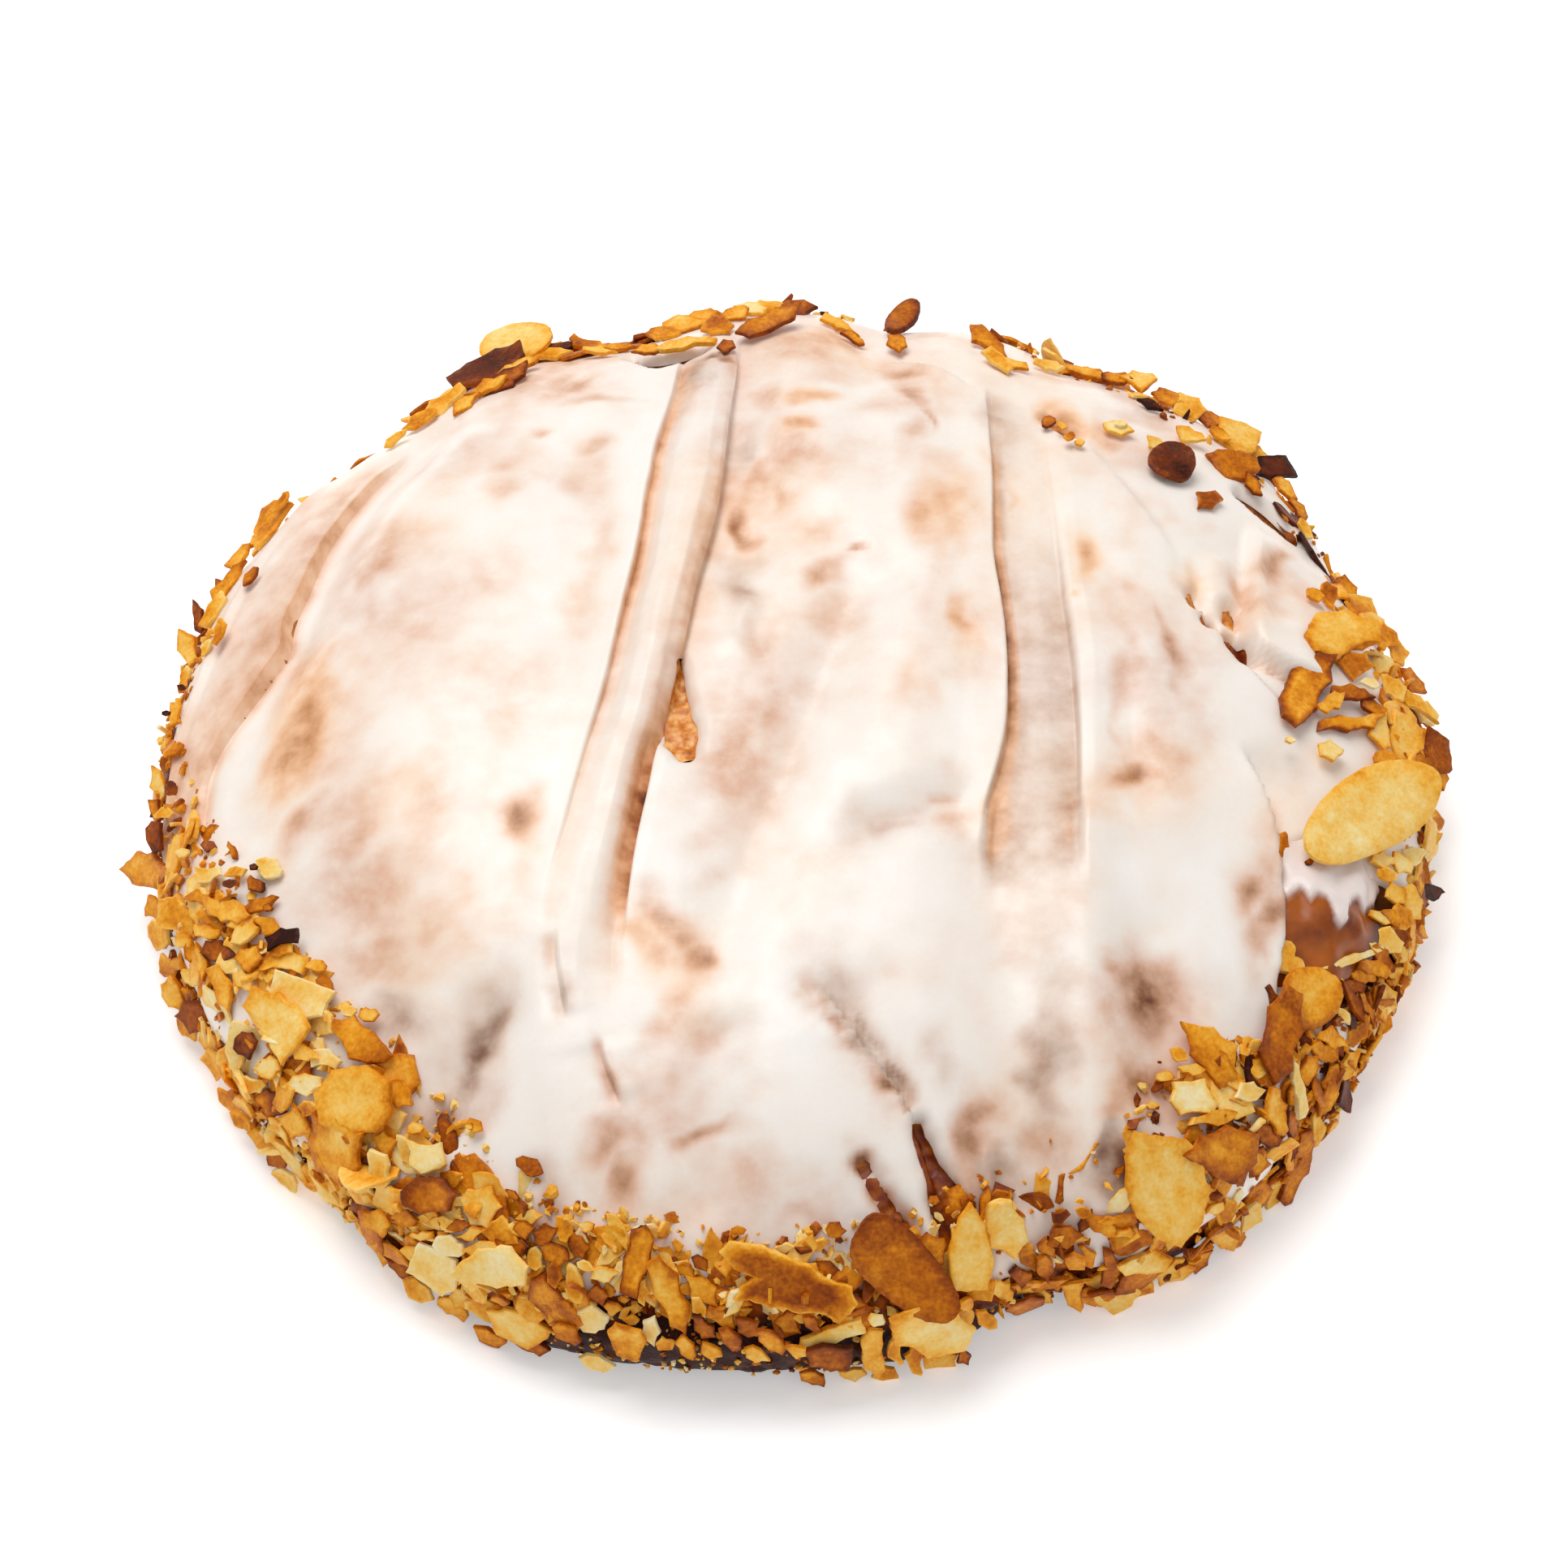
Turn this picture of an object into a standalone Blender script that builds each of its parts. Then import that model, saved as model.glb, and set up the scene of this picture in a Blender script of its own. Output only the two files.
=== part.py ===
# A round, domed almond pastry: folded sheets of sweet dough over an amber filling,
# with a rim of flaked almonds. Metres, +Z up. It is made about the middle of the dough's
# outline, then moved so that the origin is on the base under the middle of the whole pastry.

import math

import bmesh
import bpy
import numpy as np
from mathutils import Vector, noise

MM = 0.001

# Driving dimensions of the dough.
DOUGH_RADIUS = 76.0 * MM
DOME_HEIGHT = 31.5 * MM
WALL_HEIGHT = 7.0 * MM          # the side is widest at this height
SIDE_TUCK = 2.5 * MM            # how far the side pulls in at the base
DOME_SQUARENESS = 3.0           # 2 is an ellipse; more gives a flatter top and a rounder shoulder
TURN_STEPS = 72
TOP_RINGS = 11                  # rings of points over the top, out to the shoulder
SHOULDER = 0.86                 # where the shoulder starts, as a part of the radius
SHOULDER_RINGS = 5
WALL_RINGS = 2
RELIEF_FADE = (0.78, 0.87)      # the folds die out over this part of the radius
SLOPE_SAMPLES = 400             # points that the way up the side is measured at
SLOPE_STEP = 0.2 * MM           # for the direction that the surface faces

# Clearances.
GAP = 0.35 * MM
RIM_GAP = 0.5 * MM
WELD = 0.01 * MM

# Bulges (+) and notches (-) of the outline: direction and half-width in degrees, height.
OUTLINE = {
    "front_left_bulge": (250, 17, 2.4 * MM),
    "front_notch": (291, 6, -2.6 * MM),
    "front_right_bulge": (306, 8, 1.4 * MM),
    "right_flat": (331, 9, -1.0 * MM),
    "right_corner": (5, 6, 0.9 * MM),
    "right_shoulder_notch": (22, 7, -2.0 * MM),
    "back_right_bulge": (44, 10, 1.8 * MM),
    "back_right_notch": (60, 5, -1.6 * MM),
    "back_notch": (80, 5, -2.4 * MM),
    "back_fold_notch": (107, 8, -3.2 * MM),
    "back_left_flat": (135, 10, -1.6 * MM),
    "left_bulge": (158, 14, 1.2 * MM),
}

# Soft ridges (+) and valleys (-) pressed into the top: route in plan, half-width, height.
SOFT_FOLDS = {
    "left_panel_crown": (((-38, 34), (-42, 6), (-40, -26)), 15 * MM, 1.2 * MM),
    "middle_crown": (((16, 44), (16, 12), (12, -12)), 7 * MM, 1.0 * MM),
    "middle_valley": (((8, 14), (1, -10), (-5, -28), (-9, -40)), 4.5 * MM, -1.8 * MM),
    "right_panel_crown": (((42, 26), (44, 0), (42, -18)), 6 * MM, 0.8 * MM),
    "front_ridge": (((33, -21), (33, -40), (34, -62)), 5 * MM, 1.6 * MM),
    "front_middle_ridge": (((-6, -44), (0, -60)), 8 * MM, 1.2 * MM),
    "front_left_dent": (((-35, -46), (-40, -54)), 5 * MM, -2.2 * MM),
}

# Rolled sheet edges that stand proud: route in plan, radius of the roll, height over the dome.
ROLLS = {
    "long_roll": (((-10, 52), (-13, 30), (-16, 12), (-19, -6), (-22, -22), (-25, -40)), 4.2 * MM, 2.2 * MM),
    "left_roll": (((-50, 42), (-57, 31), (-61, 18), (-63, 6), (-65, -6)), 4.0 * MM, 1.5 * MM),
    "block_roll": (((56, 30), (58, 20), (58, 8)), 6.5 * MM, 0.8 * MM),
}
ROLL_TAPER = 0.45               # radius of a roll's ends, as a part of its middle
ROLL_SPACING = 3.5 * MM         # between the points along a roll or a trough

# The curled end of a sheet at the back: place, half sizes, turn in degrees.
BACK_KNOB = ((15.0 * MM, 63.0 * MM, 15.5 * MM), (9.0 * MM, 6.5 * MM, 7.0 * MM), 14)

# Strips where the top sheet has sunk: route in plan, radius of the trough, depth of its floor.
TROUGHS = {
    "right_strip": (((28, 46), (28, 30), (29, 10), (29, -8), (27, -22)), 5.0 * MM, 1.8 * MM),
}

# Splits in the top sheet: route in plan, half-width, depth of the lower edge under the surface.
SPLITS = {
    "front_split": (((4, -45), (9, -52), (13, -58), (16, -63), (17.5, -68)), 0.7 * MM, 8.5 * MM),
    "front_side_split": (((7.5, -62), (9.5, -65), (11.5, -68)), 0.5 * MM, 6.0 * MM),
    "hook_split": (((-22, -50), (-20.5, -53), (-19, -57)), 0.5 * MM, 2.5 * MM),
    "roll_undercut": (((-9, 28), (-12, 6), (-15, -10), (-18, -24)), 0.5 * MM, 3.0 * MM),
    "right_sheet_edge": (((36, 40), (44, 27), (48, 14), (54, 5)), 0.5 * MM, 2.2 * MM),
}

SPLIT_SPACING = 2.5 * MM
SPLIT_OVER = 3.0 * MM           # how far a split's blade stands out of the surface

# Filling: a flat lens under the top, with a lobe that shows in the window of the right side.
FILLING_HEIGHT = 14.0 * MM      # of its middle plane
FILLING_LENS = (63.0 * MM, 63.0 * MM, 6.5 * MM)
FILLING_LOBE = (11.5 * MM, 11.5 * MM, 6.5 * MM)
LOBE_DIRECTION = -23            # degrees from +X
LOBE_REACH = 61.0 * MM
LOBE_HEIGHT = 14.0 * MM
WINDOW_SIZE = (10.0 * MM, 13.0 * MM, 7.5 * MM)
WINDOW_REACH = 69.0 * MM
WINDOW_HEIGHT = 20.0 * MM
ROUND_SEGMENTS = 24
ROUND_RINGS = 10

# Almond rim.
RIM_LOW = 1.8 * MM              # up the slope from the base
RIM_ROWS = 6
RIM_REACH = 24.0 * MM           # how far up the slope the rim goes
RIM_THICKEST = 2.6 * MM
RIM_THINNEST = 0.8 * MM
RIM_LUMP = 6.5 * MM             # size of the clumps of almond
RIM_CLUMPS = (0.5, 0.5, 0.25)   # mean thickness, swing of the clumps, swing of the small ones
RIM_SMALL_CLUMPS = 2.3          # how many times smaller those are
RIM_REACH_SWING = 1.5 * MM      # unevenness of the rim's upper edge
RIM_EDGE_START = 0.35           # part of the thickness that the rim's edges have
RIM_EDGE_SLOPE = 4.0
# Places where the rim stops lower or goes higher: direction, half-width, change of reach.
RIM_EDGE = {
    "front": (262, 26, -2.0 * MM),
    "front_left": (222, 22, 3.0 * MM),
    "left": (168, 24, -8.0 * MM),
    "back_left": (138, 14, -9.0 * MM),
    "back": (90, 30, -5.0 * MM),
    "back_knob": (77, 9, -7.0 * MM),
    "block": (20, 11, -6.0 * MM),
    "window": (-20, 15, -13.0 * MM),
    "right_front": (-50, 14, 3.0 * MM),
}

# Whole almond slices: direction, height up the slope, length, width, turn, lift of the far end.
FLAKE_THICKNESS = 1.0 * MM
FLAKE_CLEARANCE = 0.5 * MM
FLAKE_SEGMENTS = (5, 3)
FLAKE_POINT = 0.22              # how much narrower the far end is
FLAKES = {
    "right_whole": (-11, 24.5, 18.5, 10.5, -36, 2.0),
    "front_orange": (279.5, 17.5, 15.5, 8.5, -53, 1.5),
    "front_notched": (268.5, 17.5, 15.5, 7.0, -20, 1.8),
    "front_pale_tall": (303.5, 17.5, 15.0, 9.5, -86, 1.5),
    "front_right_gold": (311.5, 17.0, 10.0, 6.5, -35, 1.2),
    "window_gold": (329, 20.5, 9.5, 7.5, -29, 1.2),
    "right_toasted": (2.5, 32.0, 10.5, 6.0, -29, 1.0),
    "right_cream": (11.5, 26.0, 11.0, 7.0, -68, 1.5),
    "back_left_pale": (117.5, 16.0, 10.5, 7.5, -32, 1.2),
    "back_left_dark": (124.5, 21.0, 10.0, 5.5, -17, 0.8),
    "left_pale": (214.5, 20.0, 10.5, 8.0, 7, 1.0),
    "left_gold": (226, 20.5, 12.0, 8.5, 36, 1.2),
    "front_left_brown": (237.5, 17.5, 7.0, 5.0, 32, 0.8),
    "front_left_cream": (244.5, 13.5, 10.0, 6.5, 32, 1.0),
    "front_left_upright": (254.5, 19.5, 8.5, 4.0, 86, 0.8),
    "front_upright": (260.5, 14.0, 10.0, 4.5, -63, 0.6),
    "front_pale_upright": (287, 17.0, 10.0, 5.5, 83, 0.8),
    "front_low_pale": (285.5, 7.5, 11.0, 6.0, -10, 0.8),
    "left_point": (188, 10.0, 9.0, 5.0, 48, 1.8),
    "back_right_dark": (39, 34.5, 6.5, 5.5, 0, 0.8),
    "back_brown": (93, 31.0, 9.0, 4.5, 24, 0.8),
    "back_knob_brown": (74.5, 17.0, 7.0, 4.5, 30, 0.8),
    "right_front_low": (320, 21.0, 11.0, 6.0, 28, 1.0),
}

COLOURS = {
    "dough": (0.62, 0.36, 0.16, 1.0),
    "filling": (0.30, 0.10, 0.02, 1.0),
    "almond_crumb": (0.66, 0.40, 0.15, 1.0),
    "almond_slice": (0.86, 0.62, 0.30, 1.0),
}
ROUGHNESS = {"dough": 0.75, "filling": 0.25, "almond_crumb": 0.6, "almond_slice": 0.5}


def turned_by(degrees, centre):
    return (degrees - centre + 180.0) % 360.0 - 180.0


def bell(distance, half_width):
    return math.exp(-(distance / half_width) ** 2)


def outline_radius(angle):
    degrees = math.degrees(angle)
    radius = DOUGH_RADIUS
    for direction, half_width, height in OUTLINE.values():
        radius += height * bell(turned_by(degrees, direction), half_width)
    return radius


def side_fraction(height):
    # Radius of the side at a height, as a part of the outline's radius.
    if height < WALL_HEIGHT:
        return 1.0 - SIDE_TUCK / DOUGH_RADIUS * ((WALL_HEIGHT - height) / WALL_HEIGHT) ** 2
    climb = min(1.0, (height - WALL_HEIGHT) / (DOME_HEIGHT - WALL_HEIGHT))
    return (1.0 - climb ** 2) ** (1.0 / DOME_SQUARENESS)


def dome_height(fraction):
    rise = 1.0 - min(1.0, fraction) ** DOME_SQUARENESS
    return WALL_HEIGHT + (DOME_HEIGHT - WALL_HEIGHT) * math.sqrt(rise)


def slope_table():
    # Length of the way up the side and over the top, against height.
    heights = DOME_HEIGHT * np.sin(np.linspace(0.0, math.pi / 2, SLOPE_SAMPLES))
    radii = np.array([DOUGH_RADIUS * side_fraction(height) for height in heights])
    steps = np.hypot(np.diff(heights), np.diff(radii))
    return np.concatenate([[0.0], np.cumsum(steps)]), heights


SLOPE_LENGTHS, SLOPE_HEIGHTS = slope_table()


def skin_bare(angle, climbed):
    height = float(np.interp(climbed, SLOPE_LENGTHS, SLOPE_HEIGHTS))
    fraction = side_fraction(height)
    radius = outline_radius(angle) * fraction
    x, y = radius * math.cos(angle), radius * math.sin(angle)
    return Vector((x, y, height + relief(x, y, fraction)))


def skin_point(angle, climbed, offset):
    # A point at an offset from the dough, at a direction and a way up its slope.
    here = skin_bare(angle, climbed)
    across = skin_bare(angle + SLOPE_STEP / DOUGH_RADIUS, climbed) - here
    up = skin_bare(angle, climbed + SLOPE_STEP) - here
    return here + across.cross(up).normalized() * offset


def route_distance(route, x, y):
    # Distance in plan from a point to a route that is given in millimetres.
    nearest = math.inf
    here = Vector((x, y))
    for start, end in zip(route, route[1:]):
        first = Vector(start) * MM
        along = Vector(end) * MM - first
        share = max(0.0, min(1.0, (here - first).dot(along) / along.length_squared))
        nearest = min(nearest, (here - first - along * share).length)
    return nearest


def relief(x, y, fraction):
    low, high = RELIEF_FADE
    fade = 1.0 - max(0.0, min(1.0, (fraction - low) / (high - low)))
    height = 0.0
    for route, half_width, rise in SOFT_FOLDS.values():
        height += rise * bell(route_distance(route, x, y), half_width)
    return height * fade


def top_height(x, y):
    fraction = math.hypot(x, y) / outline_radius(math.atan2(y, x))
    return dome_height(fraction) + relief(x, y, fraction)


def material(name, colour_name):
    paint = bpy.data.materials.new(name)
    paint.use_nodes = True
    shader = paint.node_tree.nodes["Principled BSDF"]
    shader.inputs["Base Color"].default_value = COLOURS[colour_name]
    shader.inputs["Roughness"].default_value = ROUGHNESS[colour_name]
    return paint


def add_object(name, data, collection):
    thing = bpy.data.objects.new(name, data)
    collection.objects.link(thing)
    return thing


def evaluated_mesh(thing):
    graph = bpy.context.evaluated_depsgraph_get()
    mesh = bpy.data.meshes.new_from_object(thing.evaluated_get(graph))
    shape = bmesh.new()
    shape.from_mesh(mesh)
    bmesh.ops.remove_doubles(shape, verts=shape.verts, dist=WELD)
    shape.to_mesh(mesh)
    shape.free()
    return mesh


def as_mesh(thing, collection):
    # The same shape as plain mesh data, in place of a curve or of unapplied modifiers.
    mesh = evaluated_mesh(thing)
    name, place = thing.name, thing.matrix_world.copy()
    bpy.data.objects.remove(thing)
    solid = add_object(name, mesh, collection)
    solid.matrix_world = place
    return solid


def turned(name, profile, collection):
    # Turns a profile of (radius, height), which runs from top to bottom, about Z.
    mesh = bpy.data.meshes.new(name)
    points = [(radius, 0.0, height) for radius, height in profile]
    mesh.from_pydata(points, [(i, i + 1) for i in range(len(points) - 1)], [])
    thing = add_object(name, mesh, collection)
    screw = thing.modifiers.new("turn", "SCREW")
    screw.steps = TURN_STEPS
    screw.render_steps = TURN_STEPS
    screw.use_merge_vertices = True
    screw.merge_threshold = WELD
    return as_mesh(thing, collection)


def combine(thing, other, operation):
    cut = thing.modifiers.new(other.name, "BOOLEAN")
    cut.operation = operation
    cut.object = other
    cut.solver = "EXACT"


def make_cutter(thing):
    thing.display_type = "WIRE"
    thing.hide_render = True


def swept(name, points, radii, collection):
    # A round bar along the points.
    curve = bpy.data.curves.new(name, "CURVE")
    curve.dimensions = "3D"
    curve.twist_mode = "Z_UP"
    curve.bevel_depth = 1.0
    curve.bevel_resolution = 2
    curve.use_fill_caps = True
    line = curve.splines.new("POLY")
    line.points.add(len(points) - 1)
    for place, point, radius in zip(line.points, points, radii):
        place.co = (*point, 1.0)
        place.radius = radius
    return as_mesh(add_object(name, curve, collection), collection)


def smooth_route(route, spacing):
    # Points along a smooth line through a route in plan, in metres.
    corners = np.array(route) * MM
    lengths = np.concatenate([[0.0], np.cumsum(np.hypot(*np.diff(corners, axis=0).T))])
    count = max(4, int(lengths[-1] / spacing) + 1)
    along = np.linspace(0.0, lengths[-1], count)
    line = np.stack([np.interp(along, lengths, corners[:, axis]) for axis in (0, 1)], 1)
    for _ in range(2):
        line[1:-1] = (line[:-2] + 2.0 * line[1:-1] + line[2:]) / 4.0
    return line


def make_roll(name, route, radius, proud, cutters):
    line = smooth_route(route, ROLL_SPACING)
    shares = np.linspace(-1.0, 1.0, len(line))
    swell = ROLL_TAPER + (1.0 - ROLL_TAPER) * np.sqrt(1.0 - shares ** 4)
    radii = radius * swell
    points = [(x, y, top_height(x, y) + proud * rise - size)
              for (x, y), rise, size in zip(line, swell, radii)]
    roll = swept(name, points, radii, cutters)
    make_cutter(roll)
    return roll


def make_trough(name, route, radius, depth, cutters):
    line = smooth_route(route, ROLL_SPACING)
    points = [(x, y, top_height(x, y) + radius - depth) for x, y in line]
    trough = swept(name, points, [radius] * len(points), cutters)
    make_cutter(trough)
    return trough


def make_split(name, route, half_width, depth, cutters):
    # An upright blade: its lower edge runs under the surface, its upper edge clear of it.
    line = smooth_route(route, SPLIT_SPACING)
    half_height = (depth + SPLIT_OVER) / 2.0
    points = [(x, y, top_height(x, y) + SPLIT_OVER - half_height) for x, y in line]
    blade = blade_along(name, points, half_width, half_height, cutters)
    make_cutter(blade)
    return blade


def blade_along(name, points, half_width, half_height, collection):
    # A bar of rectangular section that stays upright along the points.
    shape = bmesh.new()
    loops = []
    for index, point in enumerate(points):
        before = Vector(points[max(0, index - 1)])
        after = Vector(points[min(len(points) - 1, index + 1)])
        side = (after - before).cross(Vector((0.0, 0.0, 1.0))).normalized() * half_width
        up = Vector((0.0, 0.0, half_height))
        corners = (side - up, side + up, -side + up, -side - up)
        loops.append([shape.verts.new(Vector(point) + corner) for corner in corners])
    for first, second in zip(loops, loops[1:]):
        for edge in range(4):
            following = (edge + 1) % 4
            shape.faces.new((first[edge], first[following], second[following], second[edge]))
    shape.faces.new(list(reversed(loops[0])))
    shape.faces.new(loops[-1])
    bmesh.ops.recalc_face_normals(shape, faces=shape.faces)
    mesh = bpy.data.meshes.new(name)
    shape.to_mesh(mesh)
    shape.free()
    return add_object(name, mesh, collection)


def ellipsoid(name, centre, half_sizes, collection, turn=0.0):
    shape = bmesh.new()
    bmesh.ops.create_uvsphere(shape, u_segments=ROUND_SEGMENTS, v_segments=ROUND_RINGS, radius=1.0)
    bmesh.ops.scale(shape, vec=half_sizes, verts=shape.verts)
    mesh = bpy.data.meshes.new(name)
    shape.to_mesh(mesh)
    shape.free()
    thing = add_object(name, mesh, collection)
    thing.location = centre
    thing.rotation_euler = (0.0, 0.0, turn)
    bpy.context.view_layer.update()
    return thing


def outward(reach, direction, height):
    turn = math.radians(direction)
    return (reach * math.cos(turn), reach * math.sin(turn), height)


def make_filling_shape(name, grow, collection, cutters):
    # The lens and its lobe as one body, grown by a clearance for the space it lies in.
    lens_size = [half + grow for half in FILLING_LENS]
    lobe_size = [half + grow for half in FILLING_LOBE]
    lens = ellipsoid(name, (0.0, 0.0, FILLING_HEIGHT), lens_size, collection)
    lobe_place = outward(LOBE_REACH, LOBE_DIRECTION, LOBE_HEIGHT)
    lobe = ellipsoid(name + "_lobe", lobe_place, lobe_size, cutters, math.radians(LOBE_DIRECTION))
    make_cutter(lobe)
    combine(lens, lobe, "UNION")
    return lens


def make_dough(parts, cutters):
    fractions = [SHOULDER * ring / TOP_RINGS for ring in range(TOP_RINGS)]
    top = [(DOUGH_RADIUS * fraction, dome_height(fraction)) for fraction in fractions]
    heights = np.linspace(dome_height(SHOULDER), WALL_HEIGHT, SHOULDER_RINGS + 1)
    walls = np.linspace(WALL_HEIGHT, 0.0, WALL_RINGS + 1)[1:]
    side = [(DOUGH_RADIUS * side_fraction(height), height) for height in [*heights, *walls]]
    profile = top + side + [(0.0, 0.0)]
    dough = turned("pastry", profile, parts)
    for point in dough.data.vertices:
        x, y, height = point.co
        spread = math.hypot(x, y)
        scale = outline_radius(math.atan2(y, x)) / DOUGH_RADIUS
        on_top = height > WALL_HEIGHT
        point.co.x = x * scale
        point.co.y = y * scale
        if on_top:
            point.co.z = height + relief(x * scale, y * scale, spread / DOUGH_RADIUS)
    for name, (route, radius, proud) in ROLLS.items():
        combine(dough, make_roll(name, route, radius, proud, cutters), "UNION")
    place, half_sizes, turn = BACK_KNOB
    knob = ellipsoid("back_knob", place, half_sizes, cutters, math.radians(turn))
    make_cutter(knob)
    combine(dough, knob, "UNION")
    for name, (route, radius, depth) in TROUGHS.items():
        combine(dough, make_trough(name, route, radius, depth, cutters), "DIFFERENCE")
    space = make_filling_shape("filling_space", GAP, cutters, cutters)
    make_cutter(space)
    combine(dough, space, "DIFFERENCE")
    window_place = outward(WINDOW_REACH, LOBE_DIRECTION, WINDOW_HEIGHT)
    window = ellipsoid("window", window_place, WINDOW_SIZE, cutters, math.radians(LOBE_DIRECTION))
    make_cutter(window)
    combine(dough, window, "DIFFERENCE")
    for name, (route, half_width, depth) in SPLITS.items():
        combine(dough, make_split(name, route, half_width, depth, cutters), "DIFFERENCE")
    dough.data.materials.append(material("baked_dough", "dough"))
    dough.data.shade_smooth()
    return dough


def make_filling(parts, cutters):
    filling = make_filling_shape("filling", 0.0, parts, cutters)
    filling.data.materials.append(material("amber_filling", "filling"))
    filling.data.shade_smooth()
    return filling


def rim_thickness(angle, climbed):
    place = skin_bare(angle, climbed) / RIM_LUMP
    mean, swing, small = RIM_CLUMPS
    lumps = mean + swing * noise.noise(place) + small * noise.noise(place * RIM_SMALL_CLUMPS)
    return RIM_THINNEST + (RIM_THICKEST - RIM_THINNEST) * max(0.0, min(1.0, lumps))


def rim_offset(angle, climbed):
    # How far the rim's outer face stands off the dough; nothing above its upper edge.
    if climbed > rim_reach(angle) + RIM_GAP:
        return 0.0
    return RIM_GAP + RIM_THICKEST * rim_weight(angle, climbed)


def rim_weight(angle, climbed):
    share = (climbed - RIM_LOW) / (rim_reach(angle) - RIM_LOW)
    edge = max(0.0, min(1.0, RIM_EDGE_SLOPE * min(share, 1.0 - share) + RIM_EDGE_START))
    return rim_thickness(angle, climbed) * edge / RIM_THICKEST


def rim_reach(angle):
    degrees = math.degrees(angle)
    reach = RIM_REACH + RIM_REACH_SWING * noise.noise(skin_bare(angle, RIM_REACH) / RIM_LUMP)
    for direction, half_width, change in RIM_EDGE.values():
        reach += change * bell(turned_by(degrees, direction), half_width)
    return reach


def make_rim(parts):
    # An open band over the side of the dough, thickened unevenly outwards.
    rows = [(DOUGH_RADIUS, 1.0 - row / (RIM_ROWS - 1)) for row in range(RIM_ROWS)]
    band = turned("almond_crust", rows, parts)
    thickness = band.vertex_groups.new(name="thickness")
    for point in band.data.vertices:
        angle = math.atan2(point.co.y, point.co.x)
        share = point.co.z
        climbed = RIM_LOW + share * (rim_reach(angle) - RIM_LOW)
        point.co = skin_point(angle, climbed, RIM_GAP)
        thickness.add([point.index], rim_weight(angle, climbed), "REPLACE")
    shell = band.modifiers.new("thickness", "SOLIDIFY")
    shell.thickness = RIM_THICKEST
    shell.offset = 1.0
    shell.vertex_group = thickness.name
    band.data.materials.append(material("almond_crumb", "almond_crumb"))
    return band


def slice_places(length, width, turn, points):
    # Where a slice's points lie: along it, and sideways and up the slope from its middle.
    for point in points:
        x, y = point.co.x, point.co.y
        along = x * math.sqrt(1.0 - y * y / 2.0)
        across = y * math.sqrt(1.0 - x * x / 2.0) * (1.0 - FLAKE_POINT * along)
        u = along * length / 2.0
        v = across * width / 2.0
        sideways = u * math.cos(turn) - v * math.sin(turn)
        upward = u * math.sin(turn) + v * math.cos(turn)
        yield point, along, sideways, upward


def make_flake(name, direction, climbed, length, width, turn, lift, parts):
    # A slice bent to the side of the pastry, clear of the rim, with its far end lifted.
    shape = bmesh.new()
    bmesh.ops.create_grid(shape, x_segments=FLAKE_SEGMENTS[0], y_segments=FLAKE_SEGMENTS[1], size=1.0)
    places = [
        (point, along, math.radians(direction) + sideways / DOUGH_RADIUS, climbed * MM + upward)
        for point, along, sideways, upward
        in slice_places(length * MM, width * MM, math.radians(turn), shape.verts)
    ]
    clear = FLAKE_CLEARANCE + max(rim_offset(angle, height) for _, _, angle, height in places)
    for point, along, angle, height in places:
        point.co = skin_point(angle, height, clear + lift * MM * max(0.0, along) ** 2)
    mesh = bpy.data.meshes.new(name)
    shape.to_mesh(mesh)
    shape.free()
    flake = add_object(name, mesh, parts)
    shell = flake.modifiers.new("thickness", "SOLIDIFY")
    shell.thickness = FLAKE_THICKNESS
    shell.offset = 1.0
    mesh.materials.append(material(name, "almond_slice"))
    return flake


def make_flakes(parts):
    for name, (direction, climbed, length, width, turn, lift) in FLAKES.items():
        make_flake("flake_" + name, direction, climbed, length, width, turn, lift, parts)


def centre_on_origin(parts, cutters):
    # Moves everything together, so that the middle of the whole pastry is over the origin.
    graph = bpy.context.evaluated_depsgraph_get()
    low, high = Vector((math.inf,) * 3), Vector((-math.inf,) * 3)
    for thing in parts.objects:
        solid = thing.evaluated_get(graph)
        for corner in solid.bound_box:
            place = thing.matrix_world @ Vector(corner)
            low = Vector(map(min, low, place))
            high = Vector(map(max, high, place))
    middle = (low + high) / 2.0
    for thing in [*parts.objects, *cutters.objects]:
        thing.location.x -= middle.x
        thing.location.y -= middle.y


def main():
    for thing in list(bpy.data.objects):
        bpy.data.objects.remove(thing)
    parts = bpy.data.collections.new("almond_pastry")
    cutters = bpy.data.collections.new("cutters")
    bpy.context.scene.collection.children.link(parts)
    bpy.context.scene.collection.children.link(cutters)
    make_dough(parts, cutters)
    make_filling(parts, cutters)
    make_rim(parts)
    make_flakes(parts)
    centre_on_origin(parts, cutters)


main()
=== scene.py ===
import math

import bpy
import numpy as np
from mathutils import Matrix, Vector


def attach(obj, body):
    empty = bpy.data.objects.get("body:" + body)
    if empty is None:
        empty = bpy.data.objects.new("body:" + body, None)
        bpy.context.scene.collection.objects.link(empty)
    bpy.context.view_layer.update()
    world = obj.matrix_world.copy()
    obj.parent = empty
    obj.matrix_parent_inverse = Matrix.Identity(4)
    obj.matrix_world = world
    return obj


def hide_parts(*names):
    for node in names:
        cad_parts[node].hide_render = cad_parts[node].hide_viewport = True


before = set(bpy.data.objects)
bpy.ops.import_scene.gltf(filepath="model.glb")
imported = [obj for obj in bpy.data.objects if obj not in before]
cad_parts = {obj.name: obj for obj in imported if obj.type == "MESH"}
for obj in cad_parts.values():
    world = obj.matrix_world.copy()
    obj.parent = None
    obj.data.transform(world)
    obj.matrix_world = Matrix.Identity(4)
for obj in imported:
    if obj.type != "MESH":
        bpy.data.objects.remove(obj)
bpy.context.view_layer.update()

# Everything below is worked out in millimetres about the middle of the dough's
# outline, then moved by this step to where the model's base lies.
placing = {"shift": (0.391, 1.632, 0.0)}
mm = 0.001


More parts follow.
